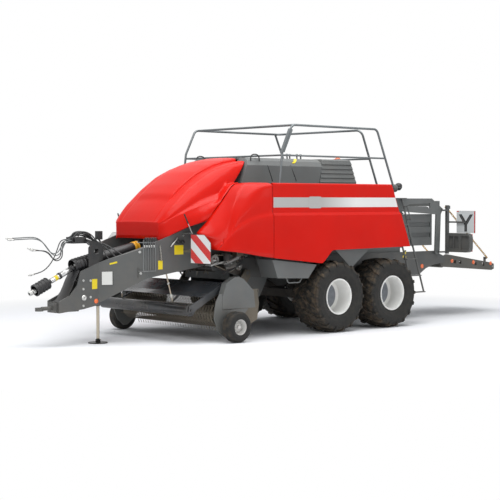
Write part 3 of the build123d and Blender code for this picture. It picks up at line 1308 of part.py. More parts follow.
HOSE_ROUTES = {
    "hose_a": [
        (4370.3, 30, 1600), (4448, 30, 1600), (4516, 33, 1540), (4562, 34, 1456), (4612, 33, 1400),
        (4682, 32, 1386),
        (4746, 31, 1420), (4800, 30, 1484), (4858, 30, 1556), (4926, 30, 1612), (5012, 30, 1640),
        (5130, 30, 1643),
        (5268, 30, 1637), (5400, 30, 1633),
    ],
    "hose_b": [(4370.3, 60, 1580), (4446, 60, 1580), (4509, 63, 1523), (4547, 64, 1436), (4598, 63, 1374),
               (4668, 62, 1358),
               (4733, 61, 1392), (4788, 60, 1456), (4848, 60, 1530), (4918, 60, 1588), (5011, 60, 1618),
               (5127, 60, 1621),
               (5258, 60, 1616), (5390, 60, 1613)],
    "hose_c": [(4370.3, -8, 1560), (4421, -8, 1560), (4467, -8, 1533), (4493, -8, 1487), (4492, -9, 1420),
               (4495, -9, 1349),
               (4522, -9, 1306), (4566, -9, 1282), (4616, -9, 1281), (4660, -9, 1305), (4712, -10, 1385),
               (4795, -10, 1433),
               (4884, -10, 1438), (4972, -10, 1444)],
    "hose_d": [(4370.3, -36, 1580), (4425, -36, 1580), (4469, -36, 1556), (4496, -36, 1514),
               (4501, -37, 1443), (4500, -37, 1378),
               (4523, -37, 1334), (4564, -37, 1306), (4613, -37, 1301), (4659, -37, 1320),
               (4716, -38, 1391), (4800, -38, 1431),
               (4902, -38, 1440), (5000, -38, 1460)],
    "hose_e": [(4370.3, -66, 1596), (4450, -66, 1596), (4505, -67, 1549), (4535, -68, 1470),
               (4565, -69, 1400),
               (4600, -70, 1330), (4645, -72, 1260), (4708, -73, 1190), (4786, -74, 1134),
               (4874, -74, 1104), (4960, -74, 1088)],
}
COUPLER_LENGTHS = {"hose_a": 96, "hose_b": 96, "hose_c": 88, "hose_d": 88, "hose_e": 92}


def corner_radii(points):
    """Largest arc for each corner that leaves part of both runs straight."""
    radii = []
    for before, here, after in zip(points, points[1:], points[2:]):
        back = Vector(*here) - Vector(*before)
        ahead = Vector(*after) - Vector(*here)
        turn = back.get_angle(ahead)
        radii.append(0.45 * min(back.length, ahead.length) / tan(radians(turn / 2)))
    return radii


def hose(points):
    """Tube of a free hose along its chosen route."""
    radii = corner_radii(points)
    path = FilletPolyline(*points, radius=radii)
    tube = sweep(Plane(origin=path @ 0, z_dir=path % 0) * Circle(HOSE_RADIUS), path=path)
    print("hose radii", [round(radius) for radius in radii], "volume ratio",
          round(tube.volume / (pi * HOSE_RADIUS ** 2 * path.length), 4))
    return tube


def coupler(points, length):
    """Stepped quick coupler on the end of a hose."""
    end = Vector(*points[-1])
    plane = Plane(origin=end, z_dir=(end - Vector(*points[-2])).normalized())
    socket = HOSE_RADIUS + RUNNING_FIT
    outline = [(0, SEAT), (socket, SEAT), (socket, -14), (12, -14), (12, length * 0.4),
               (16, length * 0.42), (16, length * 0.7), (11, length * 0.74),
               (11, length), (0, length)]
    face = make_face(Polyline(*[(r, 0, d) for r, d in outline], close=True))
    return plane * revolve(face, axis=Axis.Z)


for name, points in HOSE_ROUTES.items():
    nodes[name] = hose(points)
nodes["couplers"] = Compound(children=[coupler(points, COUPLER_LENGTHS[name]) for name,
                                       points in HOSE_ROUTES.items()])
cord_names += list(HOSE_ROUTES) + ["couplers"]

# Pieces that share a body and a finish become one node
nodes["top_cover"] = Compound(children=[nodes["top_cover"], nodes.pop("louvre")])
for label in ("left", "right"):
    nodes["chassis_" + label] = nodes["chassis_" + label].fuse(nodes.pop("front_board_" + label))

# The middle of the machine's length, free hoses left out, is moved to X = 0
boxes = [shape.bounding_box() for name, shape in nodes.items() if name not in cord_names]
ORIGIN_X = (min(box.min.X for box in boxes) + max(box.max.X for box in boxes)) / 2
print("nodes", len(nodes), "origin x", round(ORIGIN_X, 3))
for name, shape in nodes.items():
    export_step(Pos(-ORIGIN_X, 0, 0) * shape, f"parts/{name}.step")
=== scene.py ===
# %% [markdown]
# Towed square baler, dressed for its portrait. The sheet metal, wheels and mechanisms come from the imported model.
# This file gives every surface its paint, rubber or steel and adds what is too thin or too small for the model:
# bolts, bands, blank plates, lamps and lenses, springs and chains, and the smooth hoses.
# All coordinates are metres, X towards the hitch, Y to the machine's left, Z up.

# %% Load the model
import bpy
import bmesh
import json
import math
from mathutils import Matrix, Vector

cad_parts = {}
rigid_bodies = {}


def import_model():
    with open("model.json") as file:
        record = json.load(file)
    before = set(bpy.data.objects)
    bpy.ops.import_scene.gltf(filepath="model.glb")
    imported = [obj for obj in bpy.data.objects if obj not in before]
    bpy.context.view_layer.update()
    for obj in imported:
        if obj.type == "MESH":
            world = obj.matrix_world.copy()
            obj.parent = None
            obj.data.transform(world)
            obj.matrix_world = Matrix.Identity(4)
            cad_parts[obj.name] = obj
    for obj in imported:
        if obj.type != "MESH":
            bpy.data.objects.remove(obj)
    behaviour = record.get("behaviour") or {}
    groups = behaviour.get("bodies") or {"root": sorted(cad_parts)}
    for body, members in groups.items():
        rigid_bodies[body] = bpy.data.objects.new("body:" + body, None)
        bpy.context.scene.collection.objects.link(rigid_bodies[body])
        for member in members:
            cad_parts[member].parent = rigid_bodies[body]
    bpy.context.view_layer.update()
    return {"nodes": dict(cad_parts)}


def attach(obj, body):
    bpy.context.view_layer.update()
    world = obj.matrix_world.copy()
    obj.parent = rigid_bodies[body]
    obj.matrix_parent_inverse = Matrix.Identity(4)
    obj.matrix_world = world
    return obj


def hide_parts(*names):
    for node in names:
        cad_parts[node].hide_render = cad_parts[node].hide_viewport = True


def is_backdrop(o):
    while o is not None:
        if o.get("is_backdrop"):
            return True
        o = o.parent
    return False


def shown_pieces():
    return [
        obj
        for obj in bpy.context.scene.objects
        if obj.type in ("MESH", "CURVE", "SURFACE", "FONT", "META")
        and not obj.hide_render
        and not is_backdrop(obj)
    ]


for leftover in list(bpy.data.objects):
    bpy.data.objects.remove(leftover)
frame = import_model()
scene = bpy.context.scene

# %% [markdown]
# Drawings of the machine count X from the front tandem axle, in millimetres. One small helper turns such a point
# into a point of this scene, so that every measure below can be read straight off the drawing.

# %% Drawing points
AXLE_X = 0.05508


def at(x, y, z):
    """Scene point of a drawing point in millimetres."""
    return Vector((x / 1000 + AXLE_X, y / 1000, z / 1000))


print("front axle at", tuple(round(v, 3) for v in at(0, 0, 595)))

# %% [markdown]
# The camera stands far out in front of the machine's left corner, a little over two metres above the ground, with a
# long lens. It is placed by its point, its heading and a slight downward tilt. Such a long lens keeps the machine's
# lines almost parallel, as they are in the picture.

# %% Camera
camera_data = bpy.data.cameras.new("portrait_camera")
camera_data.lens = 94.03
camera_data.sensor_width = 36
camera_data.clip_end = 400
camera = bpy.data.objects.new("portrait_camera", camera_data)
scene.collection.objects.link(camera)
camera.location = at(15567, 16497, 2177)
heading, tilt = math.radians(-132.04), math.radians(-2.146)
gaze = Vector((math.cos(tilt) * math.cos(heading), math.cos(tilt) * math.sin(heading), math.sin(tilt)))
camera.rotation_mode = "QUATERNION"
camera.rotation_quaternion = gaze.to_track_quat("-Z", "Y")
scene.camera = camera
print("camera", [round(v, 2) for v in camera.location], "lens", camera_data.lens)

# %% [markdown]
# Shader nodes are wired through two short helpers: one makes a node and sets its sockets, the other joins a value
# or a colour through a Mix node. They keep the material cells down to the choices that matter.

# %% Node helpers
def add_node(tree, kind, inputs=None, **settings):
    """Shader node with its settings and socket values or links."""
    made = tree.nodes.new(kind)
    for key, value in settings.items():
        setattr(made, key, value)
    for key, value in (inputs or {}).items():
        if isinstance(value, bpy.types.NodeSocket):
            tree.links.new(value, made.inputs[key])
        else:
            made.inputs[key].default_value = value
    return made


def mix_colour(tree, factor, first, second):
    """Colour between two colours."""
    made = tree.nodes.new("ShaderNodeMix")
    made.data_type = "RGBA"
    for index, value in ((0, factor), (6, first), (7, second)):
        if isinstance(value, bpy.types.NodeSocket):
            tree.links.new(value, made.inputs[index])
        else:
            made.inputs[index].default_value = value
    return made.outputs[2]


def between(tree, value, low, high, out_low=0.0, out_high=1.0):
    """Value stretched from one range to another and clamped."""
    return add_node(tree, "ShaderNodeMapRange", {0: value, 1: low, 2: high, 3: out_low, 4: out_high}).outputs[0]


def reckon(tree, operation, first, second=0.0):
    """Result of one arithmetic step."""
    return add_node(tree, "ShaderNodeMath", {0: first, 1: second}, operation=operation).outputs[0]


def object_place(tree):
    """Coordinates on the object itself, which stay put when a body moves."""
    return add_node(tree, "ShaderNodeTexCoord").outputs["Object"]


def noise(tree, place, scale, detail, roughness=0.5):
    """Value of a noise."""
    sockets = {"Vector": place, "Scale": scale, "Detail": detail, "Roughness": roughness}
    return add_node(tree, "ShaderNodeTexNoise", sockets).outputs[0]


def start_material(name):
    """New material, its node tree and its Principled shader."""
    material = bpy.data.materials.new(name)
    material.use_nodes = True
    return material, material.node_tree, material.node_tree.nodes["Principled BSDF"]


def finish_surface(tree, shader, colour, roughness, height, strength, distance=0.001):
    """Colour, roughness and a bump over a height, joined to the shader."""
    tree.links.new(colour, shader.inputs["Base Color"])
    tree.links.new(roughness, shader.inputs["Roughness"])
    bump = add_node(tree, "ShaderNodeBump", {"Strength": strength, "Distance": distance, "Height": height})
    tree.links.new(bump.outputs[0], shader.inputs["Normal"])


def start_group(name, inputs, outputs):
    """Empty node group with named sockets."""
    group = bpy.data.node_groups.new(name, "ShaderNodeTree")
    for label, kind, value in inputs:
        socket = group.interface.new_socket(name=label, in_out="INPUT", socket_type=kind)
        socket.default_value = value
    for label, kind in outputs:
        group.interface.new_socket(name=label, in_out="OUTPUT", socket_type=kind)
    return group, group.nodes.new("NodeGroupInput"), group.nodes.new("NodeGroupOutput")


FLOAT, COLOUR = "NodeSocketFloat", "NodeSocketColor"
print("helpers ready")

# %% [markdown]
# Field dust is what every farm machine carries: a thin warm film, thicker near the ground and broken into clouds.
# One group makes its mask from the height above the ground and two noises, and each material says how much it takes.

# %% Field dust group
dust_group, source, result = start_group("field_dust", [("Amount", FLOAT, 0.5), ("Top", FLOAT, 1.4),
                                                        ("Patch Scale", FLOAT, 3.0)],
                                         [("Mask", FLOAT), ("Dust Colour", COLOUR)],)
place = object_place(dust_group)
height = add_node(dust_group, "ShaderNodeSeparateXYZ", {0: place}).outputs[2]
low_part = reckon(dust_group, "SUBTRACT", 1.0, reckon(dust_group, "DIVIDE", height, source.outputs["Top"]))
clouds = noise(dust_group, place, source.outputs["Patch Scale"], 5.0, 0.6)
grit = noise(dust_group, place, 60.0, 2.0)
film = reckon(dust_group, "ADD", reckon(dust_group, "MAXIMUM", low_part, 0.12),
              between(dust_group, clouds, 0.35, 0.7, -0.3, 0.4))
film = reckon(dust_group, "MULTIPLY", film, between(dust_group, grit, 0.3, 0.7, 0.6, 1.0))
mask = add_node(dust_group, "ShaderNodeClamp", {0: reckon(dust_group, "MULTIPLY", film,
                                                          source.outputs["Amount"])}).outputs[0]
dust_group.links.new(mask, result.inputs["Mask"])
tone = mix_colour(dust_group, clouds, (0.17, 0.13, 0.09, 1), (0.30, 0.25, 0.19, 1))
dust_group.links.new(tone, result.inputs["Dust Colour"])
print("group", dust_group.name, len(dust_group.nodes), "nodes")

# %% [markdown]
# Sheet edges and corners lose their paint first. A Bevel node rounds the normals near an edge, so where its normal
# leaves the true one there is an edge. Noise then breaks that line up, because real chips are irregular.

# %% Worn edges group
edge_group, source, result = start_group("worn_edges", [("Width", FLOAT, 0.004), ("Amount", FLOAT, 0.6)],
                                         [("Mask", FLOAT)],)
rounded = add_node(edge_group, "ShaderNodeBevel", {"Radius": source.outputs["Width"]}, samples=3).outputs[0]
true_normal = add_node(edge_group, "ShaderNodeNewGeometry").outputs["Normal"]
agree = add_node(edge_group, "ShaderNodeVectorMath", {0: rounded, 1: true_normal},
                 operation="DOT_PRODUCT").outputs["Value"]
place = object_place(edge_group)
chips = noise(edge_group, place, 34.0, 4.0)
edge = between(edge_group, agree, 0.97, 0.80)
edge = reckon(edge_group, "MULTIPLY", edge, between(edge_group, chips, 0.45, 0.62))
edge_group.links.new(reckon(edge_group, "MULTIPLY", edge, source.outputs["Amount"]), result.inputs["Mask"])
print("group", edge_group.name, len(edge_group.nodes), "nodes")

# %% [markdown]
# Sprayed enamel is never one flat colour: it drifts a little in tone over a panel and has a fine orange peel. The
# third group gives the drifting colour, a roughness that follows it and the height for a Bump node.

# %% Sprayed enamel group
enamel_group, source, result = start_group("sprayed_enamel", [("Paint", COLOUR, (0.5, 0.5, 0.5, 1)),
                                                              ("Drift", FLOAT, 0.12), ("Roughness", FLOAT, 0.3),
                                                              ("Peel Scale", FLOAT, 180.0)],
                                           [("Colour", COLOUR), ("Roughness", FLOAT), ("Peel", FLOAT)],)
place = object_place(enamel_group)
drift = noise(enamel_group, place, 1.3, 3.0)
peel = noise(enamel_group, place, source.outputs["Peel Scale"], 1.0)
factor = reckon(enamel_group, "MULTIPLY", between(enamel_group, drift, 0.3, 0.7, -1.0, 1.0), source.outputs["Drift"])
shade = add_node(enamel_group, "ShaderNodeHueSaturation", {"Value": reckon(enamel_group, "ADD", 1.0, factor),
                                                           "Color": source.outputs["Paint"]}).outputs[0]
enamel_group.links.new(shade, result.inputs["Colour"])
gloss = reckon(enamel_group, "ADD", source.outputs["Roughness"], reckon(enamel_group, "MULTIPLY", factor, 0.6))
enamel_group.links.new(gloss, result.inputs["Roughness"])
enamel_group.links.new(peel, result.inputs["Peel"])
print("group", enamel_group.name, len(enamel_group.nodes), "nodes")

# %% [markdown]
# All painted metal on the machine is then one recipe with its own values: enamel, dust over it, bare metal at the
# worn edges, and a clear coat where the panel is glossy.

# %% Painted metal
def painted(name, paint, roughness=0.35, coat=0.0, drift=0.1, dust=0.35, dust_top=1.4, wear=0.4,
            metal=(0.35, 0.35, 0.36, 1), metallic=0.0, shine=0.5):
    """Painted or plated metal with dust and worn edges."""
    material, tree, shader = start_material(name)
    enamel = add_node(tree, "ShaderNodeGroup", node_tree=enamel_group)
    enamel.inputs["Paint"].default_value = (*paint, 1)
    enamel.inputs["Drift"].default_value = drift
    enamel.inputs["Roughness"].default_value = roughness
    dusty = add_node(tree, "ShaderNodeGroup", node_tree=dust_group)
    dusty.inputs["Amount"].default_value = dust
    dusty.inputs["Top"].default_value = dust_top
    worn = add_node(tree, "ShaderNodeGroup", node_tree=edge_group)
    worn.inputs["Amount"].default_value = wear
    colour = mix_colour(tree, worn.outputs["Mask"], enamel.outputs["Colour"], metal)
    colour = mix_colour(tree, dusty.outputs["Mask"], colour, dusty.outputs["Dust Colour"])
    rough = reckon(tree, "ADD", enamel.outputs["Roughness"], reckon(tree, "MULTIPLY", dusty.outputs["Mask"], 0.4))
    shader.inputs["Metallic"].default_value = metallic
    shader.inputs["Specular IOR Level"].default_value = shine
    shader.inputs["Coat Weight"].default_value = coat
    shader.inputs["Coat Roughness"].default_value = 0.08
    finish_surface(tree, shader, colour, rough, enamel.outputs["Peel"], 0.12, distance=0.002)
    return material


red_enamel = painted("red_enamel", (0.62, 0.006, 0.0008), roughness=0.40, coat=0.12, drift=0.06, dust=0.03,
                     dust_top=1.2, wear=0.1, shine=0.12)
grey_enamel = painted("grey_enamel", (0.125, 0.132, 0.130), roughness=0.42, drift=0.12, dust=0.22, dust_top=1.0,
                      wear=0.35)
dark_enamel = painted("dark_enamel", (0.085, 0.088, 0.086), roughness=0.45, drift=0.15, dust=0.28, dust_top=1.1,
                      wear=0.45)
inner_enamel = painted("inner_enamel", (0.03, 0.03, 0.03), roughness=0.6, drift=0.3, dust=0.45, dust_top=1.6, wear=0.4)
rim_enamel = painted("rim_enamel", (0.62, 0.62, 0.60), roughness=0.38, drift=0.06, dust=0.35, dust_top=0.9, wear=0.1)
rail_plating = painted("rail_plating", (0.16, 0.175, 0.18), roughness=0.42, drift=0.2, dust=0.05, wear=0.2,
                       metallic=0.55)
roller_steel = painted("roller_dark_steel", (0.055, 0.060, 0.066), roughness=0.3, drift=0.35, dust=0.35, dust_top=0.9,
                       wear=0.5, metallic=0.6)
chute_enamel = painted("chute_enamel", (0.080, 0.079, 0.070), roughness=0.45, drift=0.2, dust=0.3, dust_top=1.4,
                       wear=0.6)
guard_enamel = painted("crop_guard_enamel", (0.060, 0.068, 0.078), roughness=0.26, drift=0.3, dust=0.3, dust_top=1.0,
                       wear=0.5, metallic=0.35)
worked_steel = painted("worked_feeder_steel", (0.13, 0.115, 0.09), roughness=0.4, drift=0.4, dust=0.4, dust_top=1.0,
                       wear=0.5, metallic=0.45)
black_enamel = painted("black_enamel", (0.016, 0.017, 0.018), roughness=0.4, drift=0.2, dust=0.15, dust_top=1.6,
                       wear=0.4)
print("materials so far", len(bpy.data.materials))

# %% [markdown]
# Bare steel parts are turned, drawn or polished by the crop. A stretched noise gives them brush lines, and the metal
# stays metallic, so it shows the room rather than a colour.

# %% Bare steel, black moulding and rubber
def bare_steel(name, colour, roughness=0.35, dust=0.2, brush=(6.0, 90.0, 90.0), rust=0.0):
    """Metal with brush lines, a little dust and perhaps rust."""
    material, tree, shader = start_material(name)
    place = object_place(tree)
    drawn = add_node(tree, "ShaderNodeMapping", {"Vector": place, "Scale": brush}).outputs[0]
    lines = noise(tree, drawn, 1.0, 4.0)
    spots = noise(tree, place, 9.0, 6.0)
    dusty = add_node(tree, "ShaderNodeGroup", node_tree=dust_group)
    dusty.inputs["Amount"].default_value = dust
    base = mix_colour(tree, lines, (*[c * 0.7 for c in colour], 1), (*colour, 1))
    rusty = between(tree, spots, 0.62 - rust * 0.3, 0.78 - rust * 0.3, 0.0, min(1.0, rust * 2))
    base = mix_colour(tree, rusty, base, (0.20, 0.075, 0.03, 1))
    base = mix_colour(tree, dusty.outputs["Mask"], base, dusty.outputs["Dust Colour"])
    covered = reckon(tree, "MAXIMUM", rusty, dusty.outputs["Mask"])
    tree.links.new(reckon(tree, "SUBTRACT", 0.9, covered), shader.inputs["Metallic"])
    finish_surface(tree, shader, base, between(tree, lines, 0.2, 0.8, roughness - 0.08, roughness + 0.12), lines, 0.15)
    return material


def black_matter(name, colour, roughness=0.6, grain=240.0, dust=0.3, dust_top=1.2, strength=0.25):
    """Rubber or moulded plastic with its grain and dust."""
    material, tree, shader = start_material(name)
    place = object_place(tree)
    skin = noise(tree, place, grain, 3.0)
    cloud = noise(tree, place, 4.0, 4.0)
    dusty = add_node(tree, "ShaderNodeGroup", node_tree=dust_group)
    dusty.inputs["Amount"].default_value = dust
    dusty.inputs["Top"].default_value = dust_top
    base = mix_colour(tree, cloud, (*[c * 0.7 for c in colour], 1), (*[c * 1.3 for c in colour], 1))
    base = mix_colour(tree, dusty.outputs["Mask"], base, dusty.outputs["Dust Colour"])
    finish_surface(tree, shader, base, between(tree, skin, 0.2, 0.8, roughness - 0.08, roughness + 0.1), skin, strength)
    return material


crop_steel = bare_steel("crop_polished_steel", (0.42, 0.41, 0.39), 0.38, dust=0.35, rust=0.25)
pin_steel = bare_steel("zinc_plated_steel", (0.62, 0.62, 0.60), 0.3, dust=0.08, brush=(30.0, 30.0, 30.0))
tine_steel = bare_steel("tine_spring_steel", (0.44, 0.40, 0.33), 0.4, dust=0.3, rust=0.3)
tan_rod = bare_steel("tan_plated_rod", (0.50, 0.42, 0.32), 0.35, dust=0.2, rust=0.1)
gold_chain = bare_steel("yellow_passivated_chain", (0.62, 0.38, 0.10), 0.35, dust=0.15, rust=0.2,
                        brush=(40.0, 40.0, 40.0))
black_moulding = black_matter("black_moulding", (0.012, 0.012, 0.013), 0.42, dust=0.06, strength=0.1)
hose_rubber = black_matter("hose_rubber", (0.035, 0.037, 0.038), 0.5, grain=400.0, dust=0.1)
grey_hose = black_matter("grey_hose", (0.14, 0.15, 0.15), 0.5, grain=400.0, dust=0.1)


def jack_finish(name, foot_height):
    """Plated tube above a black foot: the change lies at one height."""
    material = bare_steel(name, (0.56, 0.50, 0.40), 0.4, dust=0.1, rust=0.05)
    tree = material.node_tree
    shader = tree.nodes["Principled BSDF"]
    tube = shader.inputs["Base Color"].links[0].from_socket
    place = object_place(tree)
    scuff = noise(tree, place, 40.0, 4.0)
    level = add_node(tree, "ShaderNodeSeparateXYZ", {0: place}).outputs[2]
    foot = between(tree, level, foot_height + 0.003, foot_height)
    black = mix_colour(tree, scuff, (0.006, 0.006, 0.006, 1), (0.03, 0.028, 0.025, 1))
    tree.links.new(mix_colour(tree, foot, tube, black), shader.inputs["Base Color"])
    return material


jack_steel = jack_finish("jack_tube_and_foot", 0.07)
print("bare metals and black matter ready")

# %% [markdown]
# A tyre that has worked shows two things: a dull dark flank, and soil pressed between and onto the lugs. The tread is
# told from the flank by the distance from the wheel's axle, so each axle height is written into the material.

# %% Tyre rubber
def axle_distance(tree, place, centre):
    """Distance from an axle that runs along Y through this centre."""
    parts = add_node(tree, "ShaderNodeSeparateXYZ", {0: place})
    dx = reckon(tree, "SUBTRACT", parts.outputs[0], centre.x)
    dz = reckon(tree, "SUBTRACT", parts.outputs[2], centre.z)
    squares = reckon(tree, "ADD", reckon(tree, "MULTIPLY", dx, dx), reckon(tree, "MULTIPLY", dz, dz))
    return reckon(tree, "SQRT", squares)


def tyre_rubber(name, centre, tread_from, tread_to, soil=0.75):
    """Rubber whose soil grows towards the tread of a wheel with this centre."""
    material, tree, shader = start_material(name)
    place = object_place(tree)
    radius = axle_distance(tree, place, centre)
    tread = between(tree, radius, tread_from, tread_to)
    clods = noise(tree, place, 11.0, 8.0, 0.7)
    fine = noise(tree, place, 130.0, 3.0)
    rings = add_node(tree, "ShaderNodeTexWave", {"Vector": add_node(tree, "ShaderNodeCombineXYZ",
                                                                    {0: radius}).outputs[0], "Scale": 9.0,
                                                 "Distortion": 0.0}).outputs[1]
    earth = reckon(tree, "MULTIPLY", between(tree, clods, 0.44, 0.66, 0.0, soil), reckon(tree, "MAXIMUM", tread, 0.10))
    rubber = mix_colour(tree, clods, (0.012, 0.012, 0.011, 1), (0.034, 0.034, 0.032, 1))
    flank = reckon(tree, "SUBTRACT", 1.0, tread)
    bloom = mix_colour(tree, reckon(tree, "MULTIPLY", flank, 0.5), rubber, (0.024, 0.024, 0.023, 1))
    colour = mix_colour(tree, earth, bloom, mix_colour(tree, fine, (0.085, 0.060, 0.038, 1), (0.17, 0.125, 0.08, 1)))
    shader.inputs["Specular IOR Level"].default_value = 0.25
    ribs = reckon(tree, "MULTIPLY", rings, reckon(tree, "MULTIPLY", flank, 0.12))
    coarse = reckon(tree, "ADD", reckon(tree, "MULTIPLY", clods, tread), ribs)
    relief = reckon(tree, "ADD", reckon(tree, "MULTIPLY", fine, 0.35), coarse)
    finish_surface(tree, shader, colour, between(tree, fine, 0.2, 0.8, 0.58, 0.85), relief, 0.5, distance=0.006)
    return material


def wheel_enamel_and_dish_shade(name, centre, disc_radius):
    """White rim enamel whose hub disc is painted a mottled grey-blue as shade inside the deep dish."""
    material = painted(name, (0.86, 0.86, 0.83), roughness=0.36, drift=0.05, dust=0.22, dust_top=0.8, wear=0.1)
    tree = material.node_tree
    shader = tree.nodes["Principled BSDF"]
    white_coat = shader.inputs["Base Color"].links[0].from_socket
    place = object_place(tree)
    radius = axle_distance(tree, place, centre)
    shade_mottle = noise(tree, place, 14.0, 5.0)
    # Painted shade: this grey-blue stands in for the shade that falls on the hub disc deep in the dish.
    painted_dish_shade = mix_colour(tree, shade_mottle, (0.11, 0.12, 0.135, 1), (0.26, 0.28, 0.31, 1))
    disc = between(tree, radius, disc_radius, disc_radius - 0.006)
    tree.links.new(mix_colour(tree, disc, white_coat, painted_dish_shade), shader.inputs["Base Color"])
    return material


front_rubber = tyre_rubber("front_tandem_rubber", at(0, 0, 595), 0.50, 0.56)
rear_rubber = tyre_rubber("rear_tandem_rubber", at(-1319, 0, 595), 0.50, 0.56)
gauge_rubber = tyre_rubber("gauge_wheel_rubber", at(2292, 0, 240), 0.20, 0.235, soil=0.4)
front_rim_enamel_and_shade = wheel_enamel_and_dish_shade("front_tandem_rim_enamel_and_shade", at(0, 0, 595), 0.222)
rear_rim_enamel_and_shade = wheel_enamel_and_dish_shade("rear_tandem_rim_enamel_and_shade", at(-1319, 0, 595), 0.222)
print("three rubbers and two rim enamels")

# %% [markdown]
# Every node of the model gets its finish from one table. Reading it is like reading the paint shop's list.

# %% Paint list
FINISH = {"red_enamel": (red_enamel, ["hood", "fairing_left", "fairing_right", "door_left", "door_right"]),
          "grey_enamel": (grey_enamel, ["pickup_shield_left", "pickup_shield_right", "side_frame_left",
                                        "side_frame_right", "top_cover", "hoop", "flap_left", "flap_right",
                                        "flap_top"]), "chute": (chute_enamel, ["chute"]),
          "feeder": (worked_steel, ["pickup_frame"]), "crop guard": (guard_enamel, ["wind_guard"]),
          "carrier": (black_enamel, ["hose_carrier"]), "dark_enamel": (dark_enamel,
                                                                       ["chassis_left", "chassis_right", "drawbar",
                                                                        "ladder_upper", "ladder", "rear_light_left",
                                                                        "rear_light_right", "hitch"]),
          "inner_enamel": (inner_enamel, ["bogie", "gearbox", "plunger"]), "chamber_steel": (grey_enamel, ["chamber"]),
          "rails": (rail_plating, ["rail_left", "rail_right"]), "front rims": (front_rim_enamel_and_shade,
                                                                               ["rim_front_left", "rim_front_right"]),
          "rear rims": (rear_rim_enamel_and_shade, ["rim_rear_left", "rim_rear_right"]),
          "gauge rims": (rim_enamel, ["gauge_rim_left", "gauge_rim_right"]),
          "front tyres": (front_rubber, ["tyre_front_left", "tyre_front_right"]),
          "rear tyres": (rear_rubber, ["tyre_rear_left", "tyre_rear_right"]),
          "gauge tyres": (gauge_rubber, ["gauge_tyre_left", "gauge_tyre_right"]),
          "crop steel": (crop_steel, ["chute_roller", "flywheel"]), "roller": (roller_steel, ["wind_roller"]),
          "tines": (tine_steel, ["tine_reel"]), "zinc": (pin_steel, ["couplers", "pto_shaft"]),
          "jack": (jack_steel, ["jack_leg"]), "moulding": (black_moulding, ["pto_guard", "driveline"]),
          "chains": (gold_chain, ["chain_left", "chain_right"]),}
dressed = 0
for finish, names in FINISH.values():
    for name in names:
        mesh = frame["nodes"][name].data
        mesh.materials.clear()
        mesh.materials.append(finish)
        dressed += 1
print("dressed nodes", dressed, "of", len(frame["nodes"]))

# %% [markdown]
# Small pieces share a few makers: a flat sheet from its outline, a round bar along points, and a turned piece. Each
# maker hands back a finished object that rides on its body and carries its material.

# %% Piece makers
made_pieces = []
SIDES = (("left", 1), ("right", -1))
WALL_FACE = 680.6


def fit(name, data, material, body="frame"):
    """Object from a mesh or curve, riding on a body, with its material."""
    piece = bpy.data.objects.new(name, data)
    scene.collection.objects.link(piece)
    data.materials.append(material)
    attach(piece, body)
    made_pieces.append(piece)
    return piece


def mesh_from(bm, name, smooth=False):
    """Mesh of a finished bmesh."""
    mesh = bpy.data.meshes.new(name)
    bmesh.ops.recalc_face_normals(bm, faces=bm.faces)
    for face in bm.faces:
        face.smooth = smooth
    bm.to_mesh(mesh)
    bm.free()
    return mesh


def sheet_piece(name, outline, thickness, material, body="frame", bevel=0.0):
    """Flat sheet: outline points are scene points in order, thickness is a vector."""
    bm = bmesh.new()
    near = [bm.verts.new(p) for p in outline]
    far = [bm.verts.new(v.co + thickness) for v in near]
    for k in range(len(near)):
        after = (k + 1) % len(near)
        bm.faces.new((near[k], near[after], far[after], far[k]))
    bm.faces.new(reversed(near))
    bm.faces.new(far)
    bm.normal_update()
    if bevel:
        bmesh.ops.bevel(bm, geom=list(bm.edges), offset=bevel, segments=2, affect="EDGES", profile=0.7)
    return fit(name, mesh_from(bm, name), material, body)


def mirrored(sign, *points):
    """Scene points of drawing points on the left side, or of their mirror images where sign is -1."""
    return [at(x, sign * y, z) for x, y, z in points]


def cross_sheet(name, x, sign, corners, thickness, material):
    """Sheet across the machine at this X; its corners are (y, z) and it grows along X."""
    return sheet_piece(name, [at(x, sign * y, z) for y, z in corners], Vector((thickness, 0, 0)), material)


def wall_sheet(name, y, corners, thickness, material, body="frame", bevel=0.0):
    """Sheet along the machine at this Y; its corners are (x, z) and it grows away from the middle."""
    outward = Vector((0, math.copysign(thickness, y), 0))
    return sheet_piece(name, [at(x, y, z) for x, z in corners], outward, material, body, bevel)


def bar_piece(name, points, radius, material, body="frame", smooth_path=False):
    """Round bar along scene points."""
    curve = bpy.data.curves.new(name, "CURVE")
    curve.dimensions = "3D"
    curve.bevel_depth = radius
    curve.bevel_resolution = 4
    curve.use_fill_caps = True
    line = curve.splines.new("NURBS" if smooth_path else "POLY")
    line.points.add(len(points) - 1)
    for index, point in enumerate(points):
        line.points[index].co = (*point, 1)
    if smooth_path:
        line.order_u = 3
        line.use_endpoint_u = True
    return fit(name, curve, material, body)


def turned_piece(name, centre, axis, profile, material, body="frame", sides=24):
    """Turned piece: profile is (radius, distance along axis) in metres."""
    bm = bmesh.new()
    turn = Vector(axis).normalized().to_track_quat("Z", "Y").to_matrix()
    rings = []
    for radius, distance in profile:
        ring = []
        for step in range(sides):
            angle = 2 * math.pi * step / sides
            local = Vector((radius * math.cos(angle), radius * math.sin(angle), distance))
            ring.append(bm.verts.new(Vector(centre) + turn @ local))
        rings.append(ring)
    for first, second in zip(rings, rings[1:]):
        for step in range(sides):
            after = (step + 1) % sides
            bm.faces.new((first[step], first[after], second[after], second[step]))
    bm.faces.new(reversed(rings[0]))
    bm.faces.new(rings[-1])
    bmesh.ops.remove_doubles(bm, verts=bm.verts, dist=1e-6)
    return fit(name, mesh_from(bm, name, smooth=sides > 12), material, body)


